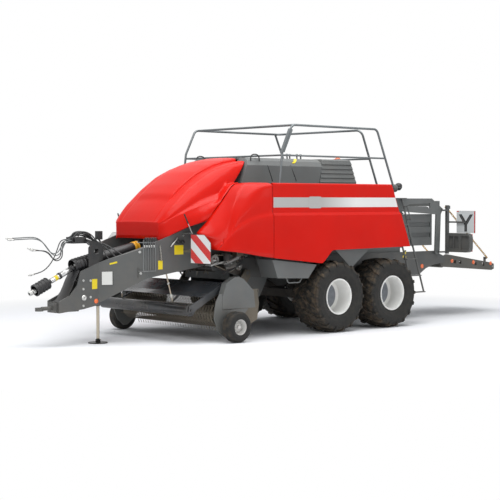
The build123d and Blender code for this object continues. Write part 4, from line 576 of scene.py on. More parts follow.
def bolts(name, places, axis, radius, material, body="frame"):
    """Hexagon heads on their washers at several places."""
    bm = bmesh.new()
    turn = Vector(axis).normalized().to_track_quat("Z", "Y").to_matrix()
    for place in places:
        for sides, size, low, high in ((16, radius * 1.25, -0.002, radius * 0.25),
                                       (6, radius, radius * 0.2, radius * 0.95)):
            lower = [bm.verts.new(Vector(place) + turn @ Vector((size * math.cos(2 * math.pi * k / sides),
                                                                 size * math.sin(2 * math.pi * k / sides),
                                                                 low))) for k in range(sides)]
            upper = [bm.verts.new(v.co + turn @ Vector((0, 0, high - low))) for v in lower]
            for k in range(sides):
                bm.faces.new((lower[k], lower[(k + 1) % sides], upper[(k + 1) % sides], upper[k]))
            bm.faces.new(reversed(lower))
            bm.faces.new(upper)
    return fit(name, mesh_from(bm, name), material, body)


print("piece makers ready")

# %% [markdown]
# The hood is one smooth moulding: a raised centre panel that ends in a short step above the nose, a rounded shoulder
# on each side, and a ledge that grows along the flank. A cage of guide lines from the nose to the rear describes it,
# and a Subdivision Surface modifier turns the cage into curved sheet. Creases keep the ledge and the panel's rim crisp.

# %% Guide lines
def along(line, share):
    """Point at a share of a guide line, on a smooth curve through its points."""
    points = [Vector(p) for p in line]
    spans = [0.0]
    for first, second in zip(points, points[1:]):
        spans.append(spans[-1] + (second - first).length)
    reach = share * spans[-1]
    index = max(k for k in range(len(points) - 1) if spans[k] <= reach + 1e-9)
    step = spans[index + 1] - spans[index]
    t = (reach - spans[index]) / step
    before = points[max(index - 1, 0)]
    after = points[min(index + 2, len(points) - 1)]
    lead = (points[index + 1] - before) * (step / (spans[index + 1] - spans[max(index - 1, 0)]))
    tail = (after - points[index]) * (step / (spans[min(index + 2, len(points) - 1)] - spans[index]))
    return ((2 * t**3 - 3 * t**2 + 1) * points[index] + (t**3 - 2 * t**2 + t) * lead
            + (3 * t**2 - 2 * t**3) * points[index + 1] + (t**3 - t**2) * tail)


def on_line(line, x):
    """Values of a table at x, on straight pieces: rows are (x, value, ...)."""
    if x <= line[0][0]:
        return line[0][1:]
    for first, second in zip(line, line[1:]):
        if x <= second[0]:
            t = (x - first[0]) / (second[0] - first[0])
            return tuple(a + (b - a) * t for a, b in zip(first[1:], second[1:]))
    return line[-1][1:]


def skin_piece(name, columns, creased_rows, thickness, material, body="frame", closing=()):
    """Subdivided sheet over columns of scene points; closing adds faces from rings of points."""
    bm = bmesh.new()
    crease = bm.edges.layers.float.new("crease_edge")
    grid = [[bm.verts.new(p) for p in column] for column in columns]
    for first, second in zip(grid, grid[1:]):
        for k in range(len(first) - 1):
            bm.faces.new((first[k], first[k + 1], second[k + 1], second[k]))
        for k, sharp in creased_rows.items():
            bm.edges.get((first[k], second[k]))[crease] = sharp
    for ring, sharp in closing:
        previous = [grid[i][j] for i, j in ring[0]]
        for loop in ring[1:]:
            made = [bm.verts.new(p) for p in loop]
            for k in range(len(made) - 1):
                bm.faces.new((previous[k], previous[k + 1], made[k + 1], made[k]))
            for first, second in zip(previous, previous[1:]):
                bm.edges.get((first, second))[crease] = sharp
            previous = made
    bmesh.ops.remove_doubles(bm, verts=bm.verts, dist=2e-4)
    piece = fit(name, mesh_from(bm, name, smooth=True), material, body)
    rounding = piece.modifiers.new("curved_sheet", "SUBSURF")
    rounding.levels = rounding.render_levels = 2
    shell = piece.modifiers.new("sheet_thickness", "SOLIDIFY")
    shell.thickness = thickness
    shell.offset = -1.0
    return piece


print("guide line helpers ready")

# %% [markdown]
# The hood's section is worked out at 31 places from rear to nose. Each is cut off at the hem line, and the last ones
# are drawn in to close the nose and the chin.

# %% Smooth hood
HOOD_TOP = [(1374, 2848, 650, 2815, 800), (1714, 2790, 652, 2757, 905), (1945, 2725, 635, 2688, 960),
            (2232, 2600, 629, 2561, 990), (2536, 2400, 617, 2359, 950), (2842, 2148, 614, 2105, 800),
            (2969, 2018, 590, 1985, 700), (3040, 1925, 566, 1900, 630), (3086, 1858, 545, 1846, 560)]
HOOD_HEM = [(1374, 2474), (1714, 2474), (1927, 2435), (2137, 2230), (2345, 2010), (2400, 1893), (2760, 1770),
            (2960, 1660), (3060, 1572), (3092, 1568)]
LEDGE_INNER = [(1374, 2420), (2040, 2312), (2450, 2176), (2720, 2042), (3000, 1880), (3086, 1840)]
LEDGE_OUTER = [(1374, 2360), (2134, 2214), (2400, 2140), (2610, 2062), (2880, 1945), (3000, 1868), (3086, 1822)]
HOOD_REAR, HOOD_NOSE, HOOD_STEPS, HOOD_ROWS = 1374, 3086, 30, 15
HOOD_MIDDLE_HEIGHT, HOOD_CHIN_HEIGHT = 1715, 1590


def hood_half(x):
    """Half section of the hood at x, from the middle to its lower edge, as (y, z)."""
    crown, ridge_y, ridge_z, side_y = on_line(HOOD_TOP, x)
    hem, = on_line(HOOD_HEM, x)
    inner, = on_line(LEDGE_INNER, x)
    outer, = on_line(LEDGE_OUTER, x)
    raised = 44 * min(1.0, max(0.0, (2780 - x) / 56))
    drop = crown - ridge_z
    spread = side_y - ridge_y
    rows = [(0, crown + raised), (210, crown - 0.1 * drop + raised), (392, crown - 0.38 * drop + raised),
            (412, crown - 0.42 * drop + raised * 0.7), (424, crown - 0.46 * drop - 4), (500, crown - 0.6 * drop + 2),
            (ridge_y - 42, ridge_z + 13), (ridge_y, ridge_z + 4), (ridge_y + 22 + 0.12 * spread,
                                                                   ridge_z - 34 - 0.06 * (ridge_z - inner)),
            (ridge_y + 26 + 0.30 * spread, ridge_z - 0.52 * (ridge_z - inner)), (ridge_y + 16 + 0.40 * spread, inner),
            (ridge_y + 0.70 * spread, outer), (ridge_y + 6 + 0.72 * spread, outer - 30),
            (side_y - 12, 0.5 * (outer + hem)), (side_y - 2, hem)]
    cut = []
    for index, (y, z) in enumerate(rows):
        if z < hem and index:
            y0, z0 = rows[index - 1] if not cut else cut[-1]
            if z0 > hem:
                y, z = y0 + (y - y0) * (z0 - hem) / (z0 - z), hem
            else:
                y, z = y0, hem
        cut.append((y, z))
    return cut


hood_columns = []
for step in range(HOOD_STEPS + 1):
    share = step / HOOD_STEPS
    half = []
    for row in range(HOOD_ROWS):
        x = HOOD_REAR + share * (HOOD_NOSE - HOOD_REAR)
        for _ in range(6):
            y, z = hood_half(x)[row]
            rear = 1386 + max(0.0, min(1.0, (2826 - z) / 352)) * 350
            x = rear + share * (HOOD_NOSE - rear)
        half.append((x, y, z))
    hood_columns.append([at(x, -y, z) for x, y, z in reversed(half)] + [at(x, y, z) for x, y, z in half[1:]])
nose = hood_columns[-1]
chin = [(HOOD_STEPS, j) for j in range(2 * HOOD_ROWS - 1)]
front_rings = [chin]
for inset, advance in ((0.985, 0.005), (0.955, 0.008)):
    middle = at(HOOD_NOSE, 0, HOOD_MIDDLE_HEIGHT)
    front_rings.append([Vector((p.x + advance, middle.y + (p.y - middle.y) * inset,
                                middle.z + (p.z - middle.z) * inset)) for p in nose])
front_rings.append([Vector((p.x + 0.004, p.y * 0.96, at(0, 0, HOOD_CHIN_HEIGHT).z)) for p in nose])
smooth_hood = skin_piece("smooth_hood", hood_columns, {11: 0.6, 17: 0.6, 10: 0.7, 18: 0.7, 4: 0.6, 24: 0.6, 3: 0.7,
                                                       25: 0.7}, 0.004, red_enamel, "hood",
                         closing=[(front_rings, 0.35)])
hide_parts("hood")
print("hood", len(hood_columns), "columns")

# %% [markdown]
# The corner between the hood and the side doors is a double-curved fairing. Ten guide lines run from the door to
# the front: the joint with the hood, both rims of the bright rounded band, the flowing step that continues the door's
# fold, the flank, and the lower edge with its hem. The same sheet maker spans them.

# %% Smooth fairings
FAIRING_GUIDES = [[(1476, 900, 2462), (1700, 925, 2466), (1930, 972, 2428), (2140, 992, 2222), (2350, 985, 2000),
                   (2480, 965, 1850), (2600, 955, 1745), (2665, 960, 1690)],
                  [(1476, 1120, 2470), (1700, 1060, 2474), (1880, 1060, 2444), (2070, 1105, 2296), (2180, 1150, 2126),
                   (2320, 1190, 1930), (2450, 1200, 1760), (2540, 1200, 1612)],
                  [(1476, 1300, 2466), (1680, 1215, 2468), (1878, 1180, 2446), (2020, 1225, 2345), (2150, 1275, 2180),
                   (2250, 1305, 2020), (2335, 1322, 1812), (2436, 1312, 1575)],
                  [(1476, 1398, 2440), (1650, 1345, 2420), (1800, 1330, 2340), (1990, 1350, 2145), (2185, 1372, 1946),
                   (2300, 1380, 1725), (2380, 1370, 1614), (2442, 1325, 1556)],
                  [(1476, 1400, 2200), (1704, 1396, 2170), (1900, 1394, 2080), (2090, 1393, 1960), (2240, 1392, 1820),
                   (2330, 1386, 1680), (2395, 1370, 1590), (2446, 1330, 1540)],
                  [(1476, 1400, 1994), (1620, 1400, 1988), (1854, 1399, 1950), (2091, 1397, 1864), (2237, 1394, 1779),
                   (2335, 1385, 1670), (2400, 1368, 1580), (2450, 1335, 1532)],
                  [(1476, 1433, 1946), (1620, 1433, 1922), (1868, 1430, 1878), (2085, 1424, 1805), (2264, 1410, 1722),
                   (2350, 1396, 1640), (2410, 1372, 1568), (2455, 1338, 1524)],
                  [(1476, 1434, 1600), (1700, 1433, 1600), (1930, 1430, 1590), (2120, 1423, 1570), (2290, 1408, 1540),
                   (2380, 1388, 1515), (2440, 1360, 1495), (2480, 1330, 1480)],
                  [(1470, 1430, 1272), (1773, 1428, 1312), (2000, 1422, 1350), (2180, 1412, 1376), (2330, 1394, 1394),
                   (2430, 1366, 1407), (2500, 1334, 1417), (2540, 1300, 1424)],
                  [(1470, 1392, 1290), (1773, 1390, 1330), (2000, 1384, 1368), (2180, 1374, 1394), (2330, 1356, 1412),
                   (2430, 1330, 1425), (2500, 1300, 1435), (2536, 1270, 1442)],]
for side, sign in SIDES:
    columns = [[at(p.x, sign * p.y, p.z) for p in (along(guide,
                                                         step / 16) for guide in FAIRING_GUIDES)] for step in range(17)]
    under = [[(16, 0), (16, 1), (16, 2), (16, 6), (16, 8)]]
    under.append(mirrored(sign, (2640, 965, 1590), (2600, 1080, 1530), (2560, 1190, 1470), (2540, 1250, 1440),
                          (2536, 1290, 1424)))
    under.append(mirrored(sign, (2560, 965, 1480), (2570, 1080, 1455), (2560, 1180, 1432), (2535, 1235, 1426),
                          (2520, 1270, 1424)))
    fairing = skin_piece(f"smooth_fairing_{side}", columns, {2: 0.7, 3: 0.85, 5: 0.6, 6: 0.75, 8: 0.6}, 0.004,
                         red_enamel, closing=[(under, 0.8)])
    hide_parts(f"fairing_{side}")
print("fairings", 2)

# %% [markdown]
# The side panels carry a broad silver band with a rounded plate on it. Both are thin sheets just proud of the door,
# and both are left blank. The band gets whiter towards the rear, which is done in its material along X.

# %% Side band and plate
def banded_film(name):
    """Silver film that turns white towards the rear."""
    material, tree, shader = start_material(name)
    place = object_place(tree)
    along = add_node(tree, "ShaderNodeSeparateXYZ", {0: place}).outputs[0]
    flake = noise(tree, place, 320.0, 2.0)
    soft = noise(tree, place, 2.0, 2.0)
    white = between(tree, along, at(350, 0, 0).x, at(-450, 0, 0).x)
    base = mix_colour(tree, white, (0.45, 0.445, 0.43, 1), (0.82, 0.82, 0.80, 1))
    base = mix_colour(tree, reckon(tree, "MULTIPLY", soft, 0.14), base, (0.33, 0.32, 0.30, 1))
    finish_surface(tree, shader, base, between(tree, flake, 0.3, 0.7, 0.28, 0.38), flake, 0.05)
    return material


DOOR_FACE = 1400.6
band_film = banded_film("silver_band_film")
plate_film = painted("silver_plate_film", (0.44, 0.435, 0.42), roughness=0.32, drift=0.05, dust=0.03, wear=0.0)
for side, sign in SIDES:
    band = ((1455, 2075), (1455, 2236), (-1424, 2236), (-1490, 2075))
    wall_sheet(f"door_band_{side}", sign * DOOR_FACE, band, 0.0012, band_film, f"door_{side}")
    corners = []
    for corner_x, corner_z, first_angle in ((640, 2220, 0), (410, 2220, 90), (410, 2090, 180), (640, 2090, 270)):
        for step in range(5):
            angle = math.radians(first_angle + step * 22.5)
            corners.append(at(corner_x + 30 * math.cos(angle), sign * 1401.9, corner_z + 30 * math.sin(angle)))
    sheet_piece(f"door_plate_{side}", corners, Vector((0, sign * 0.002, 0)), plate_film, f"door_{side}")
print("bands and plates", len(made_pieces))

# %% [markdown]
# Wide machines carry warning boards: slanted red and white stripes of reflecting film at the front, and at the rear
# square boards with a dark branching sign on both faces. The stripes are pure arithmetic: a slanted coordinate cut into
# even parts.

# %% Warning boards
def striped_film(name, first, second, period, slope, offset=0.0, along_x=False):
    """Two colours in even slanted stripes over Z and Y, or Z and X, with the film's small cells."""
    material, tree, shader = start_material(name)
    place = object_place(tree)
    parts = add_node(tree, "ShaderNodeSeparateXYZ", {0: place})
    across = parts.outputs[0] if along_x else reckon(tree, "ABSOLUTE", parts.outputs[1])
    slanted = reckon(tree, "ADD", across, reckon(tree, "MULTIPLY", parts.outputs[2], slope))
    phase = reckon(tree, "FRACT", reckon(tree, "ADD", reckon(tree, "DIVIDE", slanted, period), offset))
    stripe = between(tree, phase, 0.495, 0.505)
    cells = add_node(tree, "ShaderNodeTexVoronoi", {"Vector": place, "Scale": 260.0}).outputs[0]
    colour = mix_colour(tree, stripe, (*first, 1), (*second, 1))
    colour = mix_colour(tree, between(tree, cells, 0.1, 0.6, 0.0, 0.08), colour, (0.8, 0.8, 0.8, 1))
    finish_surface(tree, shader, colour, between(tree, cells, 0.1, 0.6, 0.22, 0.34), cells, 0.05)
    return material


def fork_outline(half_stem, foot, split, tip, outer, inner, notch):
    """Corners of an upright branching sign round the board's middle line."""
    right = [(half_stem, foot), (half_stem, split), (outer, tip), (inner, tip)]
    half = [(BOARD_MIDDLE + y, z) for y, z in right]
    return [(BOARD_MIDDLE - half_stem, foot), *half, (BOARD_MIDDLE, notch), (BOARD_MIDDLE - inner, tip),
            (BOARD_MIDDLE - outer, tip), (BOARD_MIDDLE - half_stem, split)]


BOARD_MIDDLE = 1176
FORK = fork_outline(30, 1612, 1735, 1930, 168, 95, 1800)
INNER_FORK = fork_outline(11, 1622, 1730, 1918, 140, 112, 1760)
FRONT_BOARD = ((869, 1219), (1336, 1219), (1336, 1535), (1183, 1656), (869, 1656))
TOP_EDGE = ((962, 1960), (1391, 1960), (1391, 1993), (962, 1993))
REAR_BOARD = ((962, 1587), (1391, 1587), (1391, 1993), (962, 1993))
FRONT_EDGES = (((1374, 1587), (1391, 1587), (1391, 1993), (1374, 1993)),
               ((962, 1976), (1010, 1976), (1010, 1993), (962, 1993)))
board_film = striped_film("warning_stripes", (0.66, 0.010, 0.008), (0.80, 0.80, 0.79), 0.400, 1.31, 0.578)
board_grey = painted("board_light_grey", (0.58, 0.60, 0.60), roughness=0.35, drift=0.04, dust=0.05, wear=0.0)
sign_black = black_matter("sign_black_film", (0.02, 0.02, 0.022), 0.4, dust=0.03, strength=0.05)
sign_red = painted("sign_red_film", (0.58, 0.012, 0.008), roughness=0.3, drift=0.05, dust=0.03, wear=0.0)
for side, sign in SIDES:
    cross_sheet(f"front_board_film_{side}", 2706.6, sign, FRONT_BOARD, 0.0012, board_film)
    cross_sheet(f"rear_board_film_{side}", -3648.6, sign, REAR_BOARD, -0.0012, board_grey)
    cross_sheet(f"rear_board_edge_{side}", -3649.9, sign, TOP_EDGE, -0.0008, sign_red)
    cross_sheet(f"rear_board_sign_{side}", -3649.9, sign, FORK, -0.0008, sign_black)
    cross_sheet(f"rear_board_back_{side}", -3639.4, sign, REAR_BOARD, 0.001, board_grey)
    cross_sheet(f"front_face_sign_{side}", -3638.2, sign, FORK, 0.0008, sign_black)
    cross_sheet(f"front_face_fork_{side}", -3637.3, sign, INNER_FORK, 0.0006, dark_enamel)
    for number, strip in enumerate(FRONT_EDGES):
        cross_sheet(f"front_face_edge_{side}_{number}", -3638.2, sign, strip, 0.0008, sign_red)
print("boards made")

# %% [markdown]
# Blank stickers mark the places where a machine carries its notes: yellow ones on the walls and the nose, a white one
# with a thin frame, and a black and yellow striped patch near the twine store. Their surfaces stay empty.

# %% Blank stickers
yellow_film = painted("yellow_film", (0.80, 0.62, 0.01), roughness=0.32, drift=0.04, dust=0.04, wear=0.0)
white_film = painted("white_film", (0.72, 0.72, 0.69), roughness=0.3, drift=0.03, dust=0.06, wear=0.0)
hazard_film = striped_film("hazard_stripes", (0.80, 0.62, 0.01), (0.02, 0.02, 0.02), 0.09, 1.0, along_x=True)


def sticker(name, x_low, x_high, z_low, z_high, y, material):
    """Rectangular film on a face that looks along Y."""
    return wall_sheet(name, y, ((x_low, z_low), (x_high, z_low), (x_high, z_high), (x_low, z_high)), 0.0009, material)


for side, sign in SIDES:
    wall = sign * WALL_FACE
    sticker(f"wall_note_{side}", 2707, 2884, 1346, 1491, wall, yellow_film)
    sticker(f"wall_note_low_{side}", 3118, 3204, 1127, 1262, wall, yellow_film)
    sticker(f"nose_note_{side}", 3976, 4072, 838, 990, sign * 160.6, yellow_film)
    sticker(f"hazard_patch_{side}", -2540, -2446, 1115, 1280, wall, hazard_film)
print("stickers made")

# %% [markdown]
# The nose of the drawbar carries bolt heads, the pivot of the hitch, a round reflector and, on the slanting arm behind
# it, a white plate in a thin frame. A point on the slanting arm comes from the line of the arm's outer face.

# %% Nose fittings
def lens_material(name, colour):
    """Moulded reflector or lamp lens: strong colour, small prisms, a glossy coat."""
    material, tree, shader = start_material(name)
    place = object_place(tree)
    prisms = add_node(tree, "ShaderNodeTexVoronoi", {"Vector": place, "Scale": 170.0}).outputs[0]
    shade = mix_colour(tree, between(tree, prisms, 0.0, 0.7), (*[c * 0.6 for c in colour], 1),
                       (*[min(1, c * 1.25) for c in colour], 1))
    shader.inputs["Coat Weight"].default_value = 0.8
    finish_surface(tree, shader, shade, between(tree, prisms, 0.0, 0.7, 0.12, 0.25), prisms, 0.3)
    return material


def disc_lens(name, place, axis, radius, material, body="frame"):
    """Domed round lens on a face."""
    steps = [(radius, -0.003), (radius, 0.004), (radius * 0.92, 0.008), (radius * 0.5, 0.011), (radius * 0.1, 0.012)]
    return turned_piece(name, place, axis, steps, material, body, sides=28)


def on_arm(x, z, sign, proud=0.0):
    """Point on the outer face of the slanting drawbar arm."""
    share = (3950 - x) / 550
    reach = 160 + 520 * share + proud * 1.376
    return at(x, sign * reach, z)


orange_lens = lens_material("orange_reflector", (0.85, 0.14, 0.02))
red_lens = lens_material("red_lens", (0.55, 0.008, 0.006))
for side, sign in SIDES:
    nose_bolts = [at(x, sign * 160.2, z) for x, z in ((4233, 974), (4101, 968), (4234, 846), (4103, 719), (4235, 591))]
    bolts(f"nose_bolts_{side}", nose_bolts, (0, sign, 0), 0.016, pin_steel)
    turned_piece(f"hitch_pivot_{side}", at(4215, sign * 160.0, 711), (0, sign, 0),
                 [(0.046, -0.003), (0.046, 0.004), (0.038, 0.006), (0.036, 0.016), (0.029, 0.019), (0.014, 0.019),
                  (0.012, 0.014)], pin_steel)
    disc_lens(f"nose_reflector_{side}", at(3997, sign * 160.2, 652), (0, sign, 0), 0.037, orange_lens)
    plate = [on_arm(x, z, sign, 1.5) for x, z in ((3916, 896), (3796, 900), (3796, 1103), (3916, 1099))]
    sheet_piece(f"arm_plate_{side}", plate, Vector((0.0014, sign * 0.0014, 0)), white_film)
    rim = [on_arm(x, z, sign, 3.5) for x, z in ((3918, 893), (3793, 897), (3793, 1106), (3918, 1102), (3918, 893))]
    bar_piece(f"arm_plate_frame_{side}", rim, 0.0035, black_moulding)
    mark = [on_arm(x, z, sign, 1.0) for x, z in ((3828, 1228), (3744, 1258), (3742, 1232), (3824, 1204))]
    sheet_piece(f"arm_mark_{side}", mark, Vector((0.001, sign * 0.001, 0)), yellow_film)
    bolts(f"arm_bolts_{side}", [on_arm(3480, 1075, sign), on_arm(3490, 1400, sign)], (0.69, sign * 0.73, 0), 0.017,
          pin_steel)
print("nose fittings on both sides")

# %% [markdown]
# Between the nose plates hangs a curved black guard in front of the hitch. It is a strip bent along a smooth line.

# %% Curved nose guard
guard_line = [(4300, 1150), (4330, 1085), (4384, 1000), (4440, 880), (4510, 765), (4590, 690), (4640, 668)]
guard_columns = []
for step in range(15):
    spot = along([(x, 0, z) for x, z in guard_line], step / 14)
    guard_columns.append([at(spot.x - 0.0012 * y * y, y, spot.z - 0.0006 * y * y) for y in (-132, -90, -45, 0, 45, 90,
                                                                                            132)])
skin_piece("curved_nose_guard", guard_columns, {}, 0.004, black_moulding)
print("guard columns", len(guard_columns))

# %% [markdown]
# The drive shaft's middle is a bright telescopic tube between its two black bells. A slim sleeve with a step and a
# blank label shows it. Points along the shaft come from its start and its slope.

# %% Telescopic sleeve
SHAFT_X, SHAFT_Z, SHAFT_SLOPE, SHAFT_LENGTH = 5045, 822, math.radians(25), 932


def on_shaft(distance):
    """Point on the axis of the front drive shaft, this many millimetres from its front end."""
    return at(SHAFT_X - math.cos(SHAFT_SLOPE) * distance, 0, SHAFT_Z + math.sin(SHAFT_SLOPE) * distance)


shaft_direction = on_shaft(900) - on_shaft(0)
sleeve_steel = bare_steel("telescopic_tube_steel", (0.66, 0.66, 0.65), 0.25, dust=0.04, brush=(20.0, 20.0, 20.0))
turned_piece("telescopic_sleeve", on_shaft(360), shaft_direction, [(0.0345, 0.0), (0.0395, 0.004), (0.0395, 0.20),
                                                                   (0.0445, 0.204), (0.0445, 0.40), (0.0345, 0.404)],
             sleeve_steel, sides=32)
turned_piece("sleeve_collar", on_shaft(520), shaft_direction, [(0.0400, 0.0), (0.0500, 0.003), (0.0500, 0.037),
                                                               (0.0400, 0.040)], black_moulding, sides=32)
turned_piece("sleeve_label", on_shaft(440), shaft_direction, [(0.0398, 0.0), (0.0403, 0.001), (0.0403, 0.056),
                                                              (0.0398, 0.057)], yellow_film, sides=32)
collar_paint = painted("collar_orange", (0.80, 0.38, 0.01), roughness=0.35, drift=0.08, dust=0.1, wear=0.1)
print("sleeve from", [round(v, 2) for v in on_shaft(360)])

# %% [markdown]
# On the left wall hangs a rack of thin bars for the hoses, with black hose ends hooked over its top, and a chain
# beside it. A chain is built link by link along a line, every second link turned by a quarter.

# %% Hose rack and wall chains
def chain_piece(name, start, end, sag, link, wire, material):
    """Chain of oval links between two scene points with a sag."""
    start, end = Vector(start), Vector(end)
    count = max(3, round((end - start).length / (link * 0.72)))
    bm = bmesh.new()
    for index in range(count):
        share = (index + 0.5) / count
        spot = start.lerp(end, share) - Vector((0, 0, sag * 4 * share * (1 - share)))
        ahead = (end - start) - Vector((0, 0, sag * 4 * (1 - 2 * share)))
        turn = ahead.to_track_quat("X", "Z").to_matrix() @ Matrix.Rotation(math.pi / 2 * (index % 2) + 0.4, 3, "X")
        loop = []
        for step in range(12):
            angle = 2 * math.pi * step / 12
            ring_centre = Vector((link * 0.5 * math.cos(angle), link * 0.32 * math.sin(angle), 0))
            outward = Vector((math.cos(angle), math.sin(angle), 0))
            ring = [ring_centre + outward * (wire * math.cos(a)) + Vector((0, 0, wire * math.sin(a)))
                    for a in (0, math.pi / 3, 2 * math.pi / 3, math.pi, 4 * math.pi / 3, 5 * math.pi / 3)]
            loop.append([bm.verts.new(spot + turn @ offset) for offset in ring])
        for k in range(12):
            for m in range(6):
                bm.faces.new((loop[k][m], loop[(k + 1) % 12][m], loop[(k + 1) % 12][(m + 1) % 6], loop[k][(m + 1) % 6]))
    return fit(name, mesh_from(bm, name, smooth=True), material)


RACK_Y = 712
rack_paint = painted("rack_grey_enamel", (0.16, 0.17, 0.17), roughness=0.4, drift=0.1, dust=0.1, wear=0.3)
for number, x in enumerate((3510, 3464, 3418, 3372, 3326, 3280)):
    bar_piece(f"rack_bar_{number}", [at(x, RACK_Y, 1105), at(x, RACK_Y, 1560), at(x, RACK_Y + 4, 1590)],
              0.0065 if number in (0, 5) else 0.0045, rack_paint)
for number, z in enumerate((1108, 1545)):
    bar_piece(f"rack_cross_{number}", [at(3516, RACK_Y, z), at(3274, RACK_Y, z)], 0.007, rack_paint)
    bar_piece(f"rack_foot_{number}", [at(3276, RACK_Y, z), at(3276, 679, z)], 0.007, rack_paint)
    bar_piece(f"rack_stay_{number}", [at(3512, RACK_Y, z), at(3512, 566.4, z)], 0.007, rack_paint)
for number, x in enumerate((3486, 3441, 3395, 3349, 3303)):
    loop = [at(x, 706, 1500), at(x, 708, 1560), at(x - 3, 712, 1602), at(x - 6, 730, 1620), at(x - 8, 746, 1600),
            at(x - 8, 744, 1565)]
    bar_piece(f"hooked_hose_{number}", loop, 0.0085, hose_rubber, smooth_path=True)
    turned_piece(f"hooked_end_{number}", at(x, 706, 1502), (0, 0, -1), [(0.0088, -0.004), (0.0115, 0.0),
                                                                        (0.0115, 0.030), (0.009, 0.034)], pin_steel,
                 sides=14)
chain_steel = bare_steel("galvanised_chain", (0.55, 0.54, 0.50), 0.35, dust=0.3, rust=0.3, brush=(40.0, 40.0, 40.0))
chain_piece("wall_chain", at(3178, 694, 1500), at(3148, 694, 1262), 0.0, 0.030, 0.0035, chain_steel)
bar_piece("wall_lever", [at(2968, 700, 1470), at(2958, 706, 1492), at(2848, 706, 1592), at(2836, 694, 1604)], 0.010,
          pin_steel, smooth_path=True)
for number, x in enumerate((2815, 2735)):
    turned_piece(f"wall_knob_{number}", at(x, 680, 1538), (0, 1, 0), [(0.020, -0.002), (0.020, 0.012), (0.034, 0.016),
                                                                      (0.036, 0.034), (0.028, 0.042), (0.010, 0.044)],
                 black_moulding)
print("rack, chain, lever and knobs on the wall")

# %% [markdown]
# A gas strut stands at the hood's flank on each side: a bright rod below and a black tube above, on a peg from the
# wall. It has no joint of its own, so it stays on the frame when the hood opens. The same cell adds the thin joints and
# the yellow marks of the top cover.

# %% Hood struts and trim
for side, sign in SIDES:
    foot, head = at(2706, sign * 895, 1679), at(2834, sign * 862, 1976)
    bar_piece(f"strut_peg_{side}", mirrored(sign, (2706, 681, 1679), (2706, 901, 1679)), 0.011, pin_steel)
    bar_piece(f"strut_rod_{side}", [foot, foot.lerp(head, 0.55)], 0.006, pin_steel)
    bar_piece(f"strut_tube_{side}", [foot.lerp(head, 0.5), head], 0.011, black_moulding)
    bolts(f"strut_bolt_{side}", [at(2706, sign * 681, 1640)], (0, sign, 0), 0.013, pin_steel)
    crease_paths = (((977, 739, 2767), (940, 747, 2690), (866, 749.5, 2504)),
                    ((456, 732, 2777), (400, 746, 2690), (322, 749.5, 2510)))
    for number, path_points in enumerate(crease_paths):
        bar_piece(f"cover_joint_{side}_{number}", [at(x, sign * (y + 1), z) for x, y, z in path_points], 0.006,
                  black_moulding, smooth_path=True)
    low_mark = mirrored(sign, (395, 714, 2806), (330, 714, 2806), (268, 690, 2841), (333, 690, 2841))
    sheet_piece(f"cover_mark_low_{side}", low_mark, Vector((0, sign * 0.003, 0.003)), yellow_film)
    high_mark = mirrored(sign, (333, 690, 2841), (268, 690, 2841), (185, 611, 2884), (250, 611, 2884))
    sheet_piece(f"cover_mark_high_{side}", high_mark, Vector((0, sign * 0.002, 0.003)), yellow_film)
print("struts, joints and marks")

# %% [markdown]
# Small turned and bent shapes finish the flank and the top: reflectors, a box with an amber lens on the guard rail's
# cross tube, knobs and handles on the cover, and two work lamps at the rear.

# %% Side reflectors, beacon and roof lamps
for side, sign in SIDES:
    disc_lens(f"side_reflector_{side}", at(-2983, sign * 680.2, 970), (0, sign, 0), 0.040, orange_lens)
    for number, (x, z) in enumerate(((-3904, 1041), (-4551, 994), (-5090, 958))):
        disc_lens(f"chute_reflector_{side}_{number}", at(x, sign * 640.2, z), (0, sign, 0), 0.038, orange_lens, "chute")
    lamp_face = ((812, 1240), (1318, 1240), (1318, 1565), (812, 1565))
    cross_sheet(f"rear_lamp_face_{side}", -3660.8, sign, lamp_face, -0.004, red_lens)
roof_box = [at(x, -60, 2879) for x in (-1500, -1330)] + [at(x, 60, 2879) for x in (-1330, -1500)]
sheet_piece("beacon_box", roof_box, Vector((0, 0, 0.045)), black_moulding, bevel=0.008)
turned_piece("beacon_dome", at(-1440, 0, 2923), (0, 0, 1), [(0.046, 0.0), (0.050, 0.006), (0.048, 0.022),
                                                            (0.036, 0.032), (0.010, 0.036)], orange_lens)
disc_lens("roof_marker", at(-1362, 0, 2923), (0, 0, 1), 0.020, red_lens)
for number, (x, y) in enumerate(((232, 430), (120, 380), (-10, 420), (-120, 400))):
    knob = [(0.012, -0.02), (0.012, 0.045), (0.024, 0.050), (0.026, 0.070), (0.016, 0.082), (0.004, 0.084)]
    turned_piece(f"roof_knob_{number}", at(x, y, 2898), (0.1, 0, 1), knob, rack_paint, sides=16)
for side, sign in SIDES:
    arch = mirrored(sign, (1300, 690, 2830), (1300, 690, 2900), (1262, 690, 2940), (1160, 690, 2940), (1110, 690, 2900),
                    (1110, 690, 2826))
    bar_piece(f"cover_handle_{side}", arch, 0.010, black_enamel, smooth_path=True)
    turned_piece(f"rear_work_lamp_{side}", at(-2345, sign * 655, 2440), (-1, 0, -0.15),
                 [(0.030, -0.05), (0.058, -0.03), (0.068, 0.0), (0.068, 0.03), (0.060, 0.034), (0.058, 0.026),
                  (0.01, 0.028)], black_moulding, sides=28)
    bar_piece(f"work_lamp_stalk_{side}", mirrored(sign, (-2235, 640, 2400), (-2290, 650, 2400), (-2335, 655, 2428)),
              0.013, black_enamel)
print("reflectors and beacon")
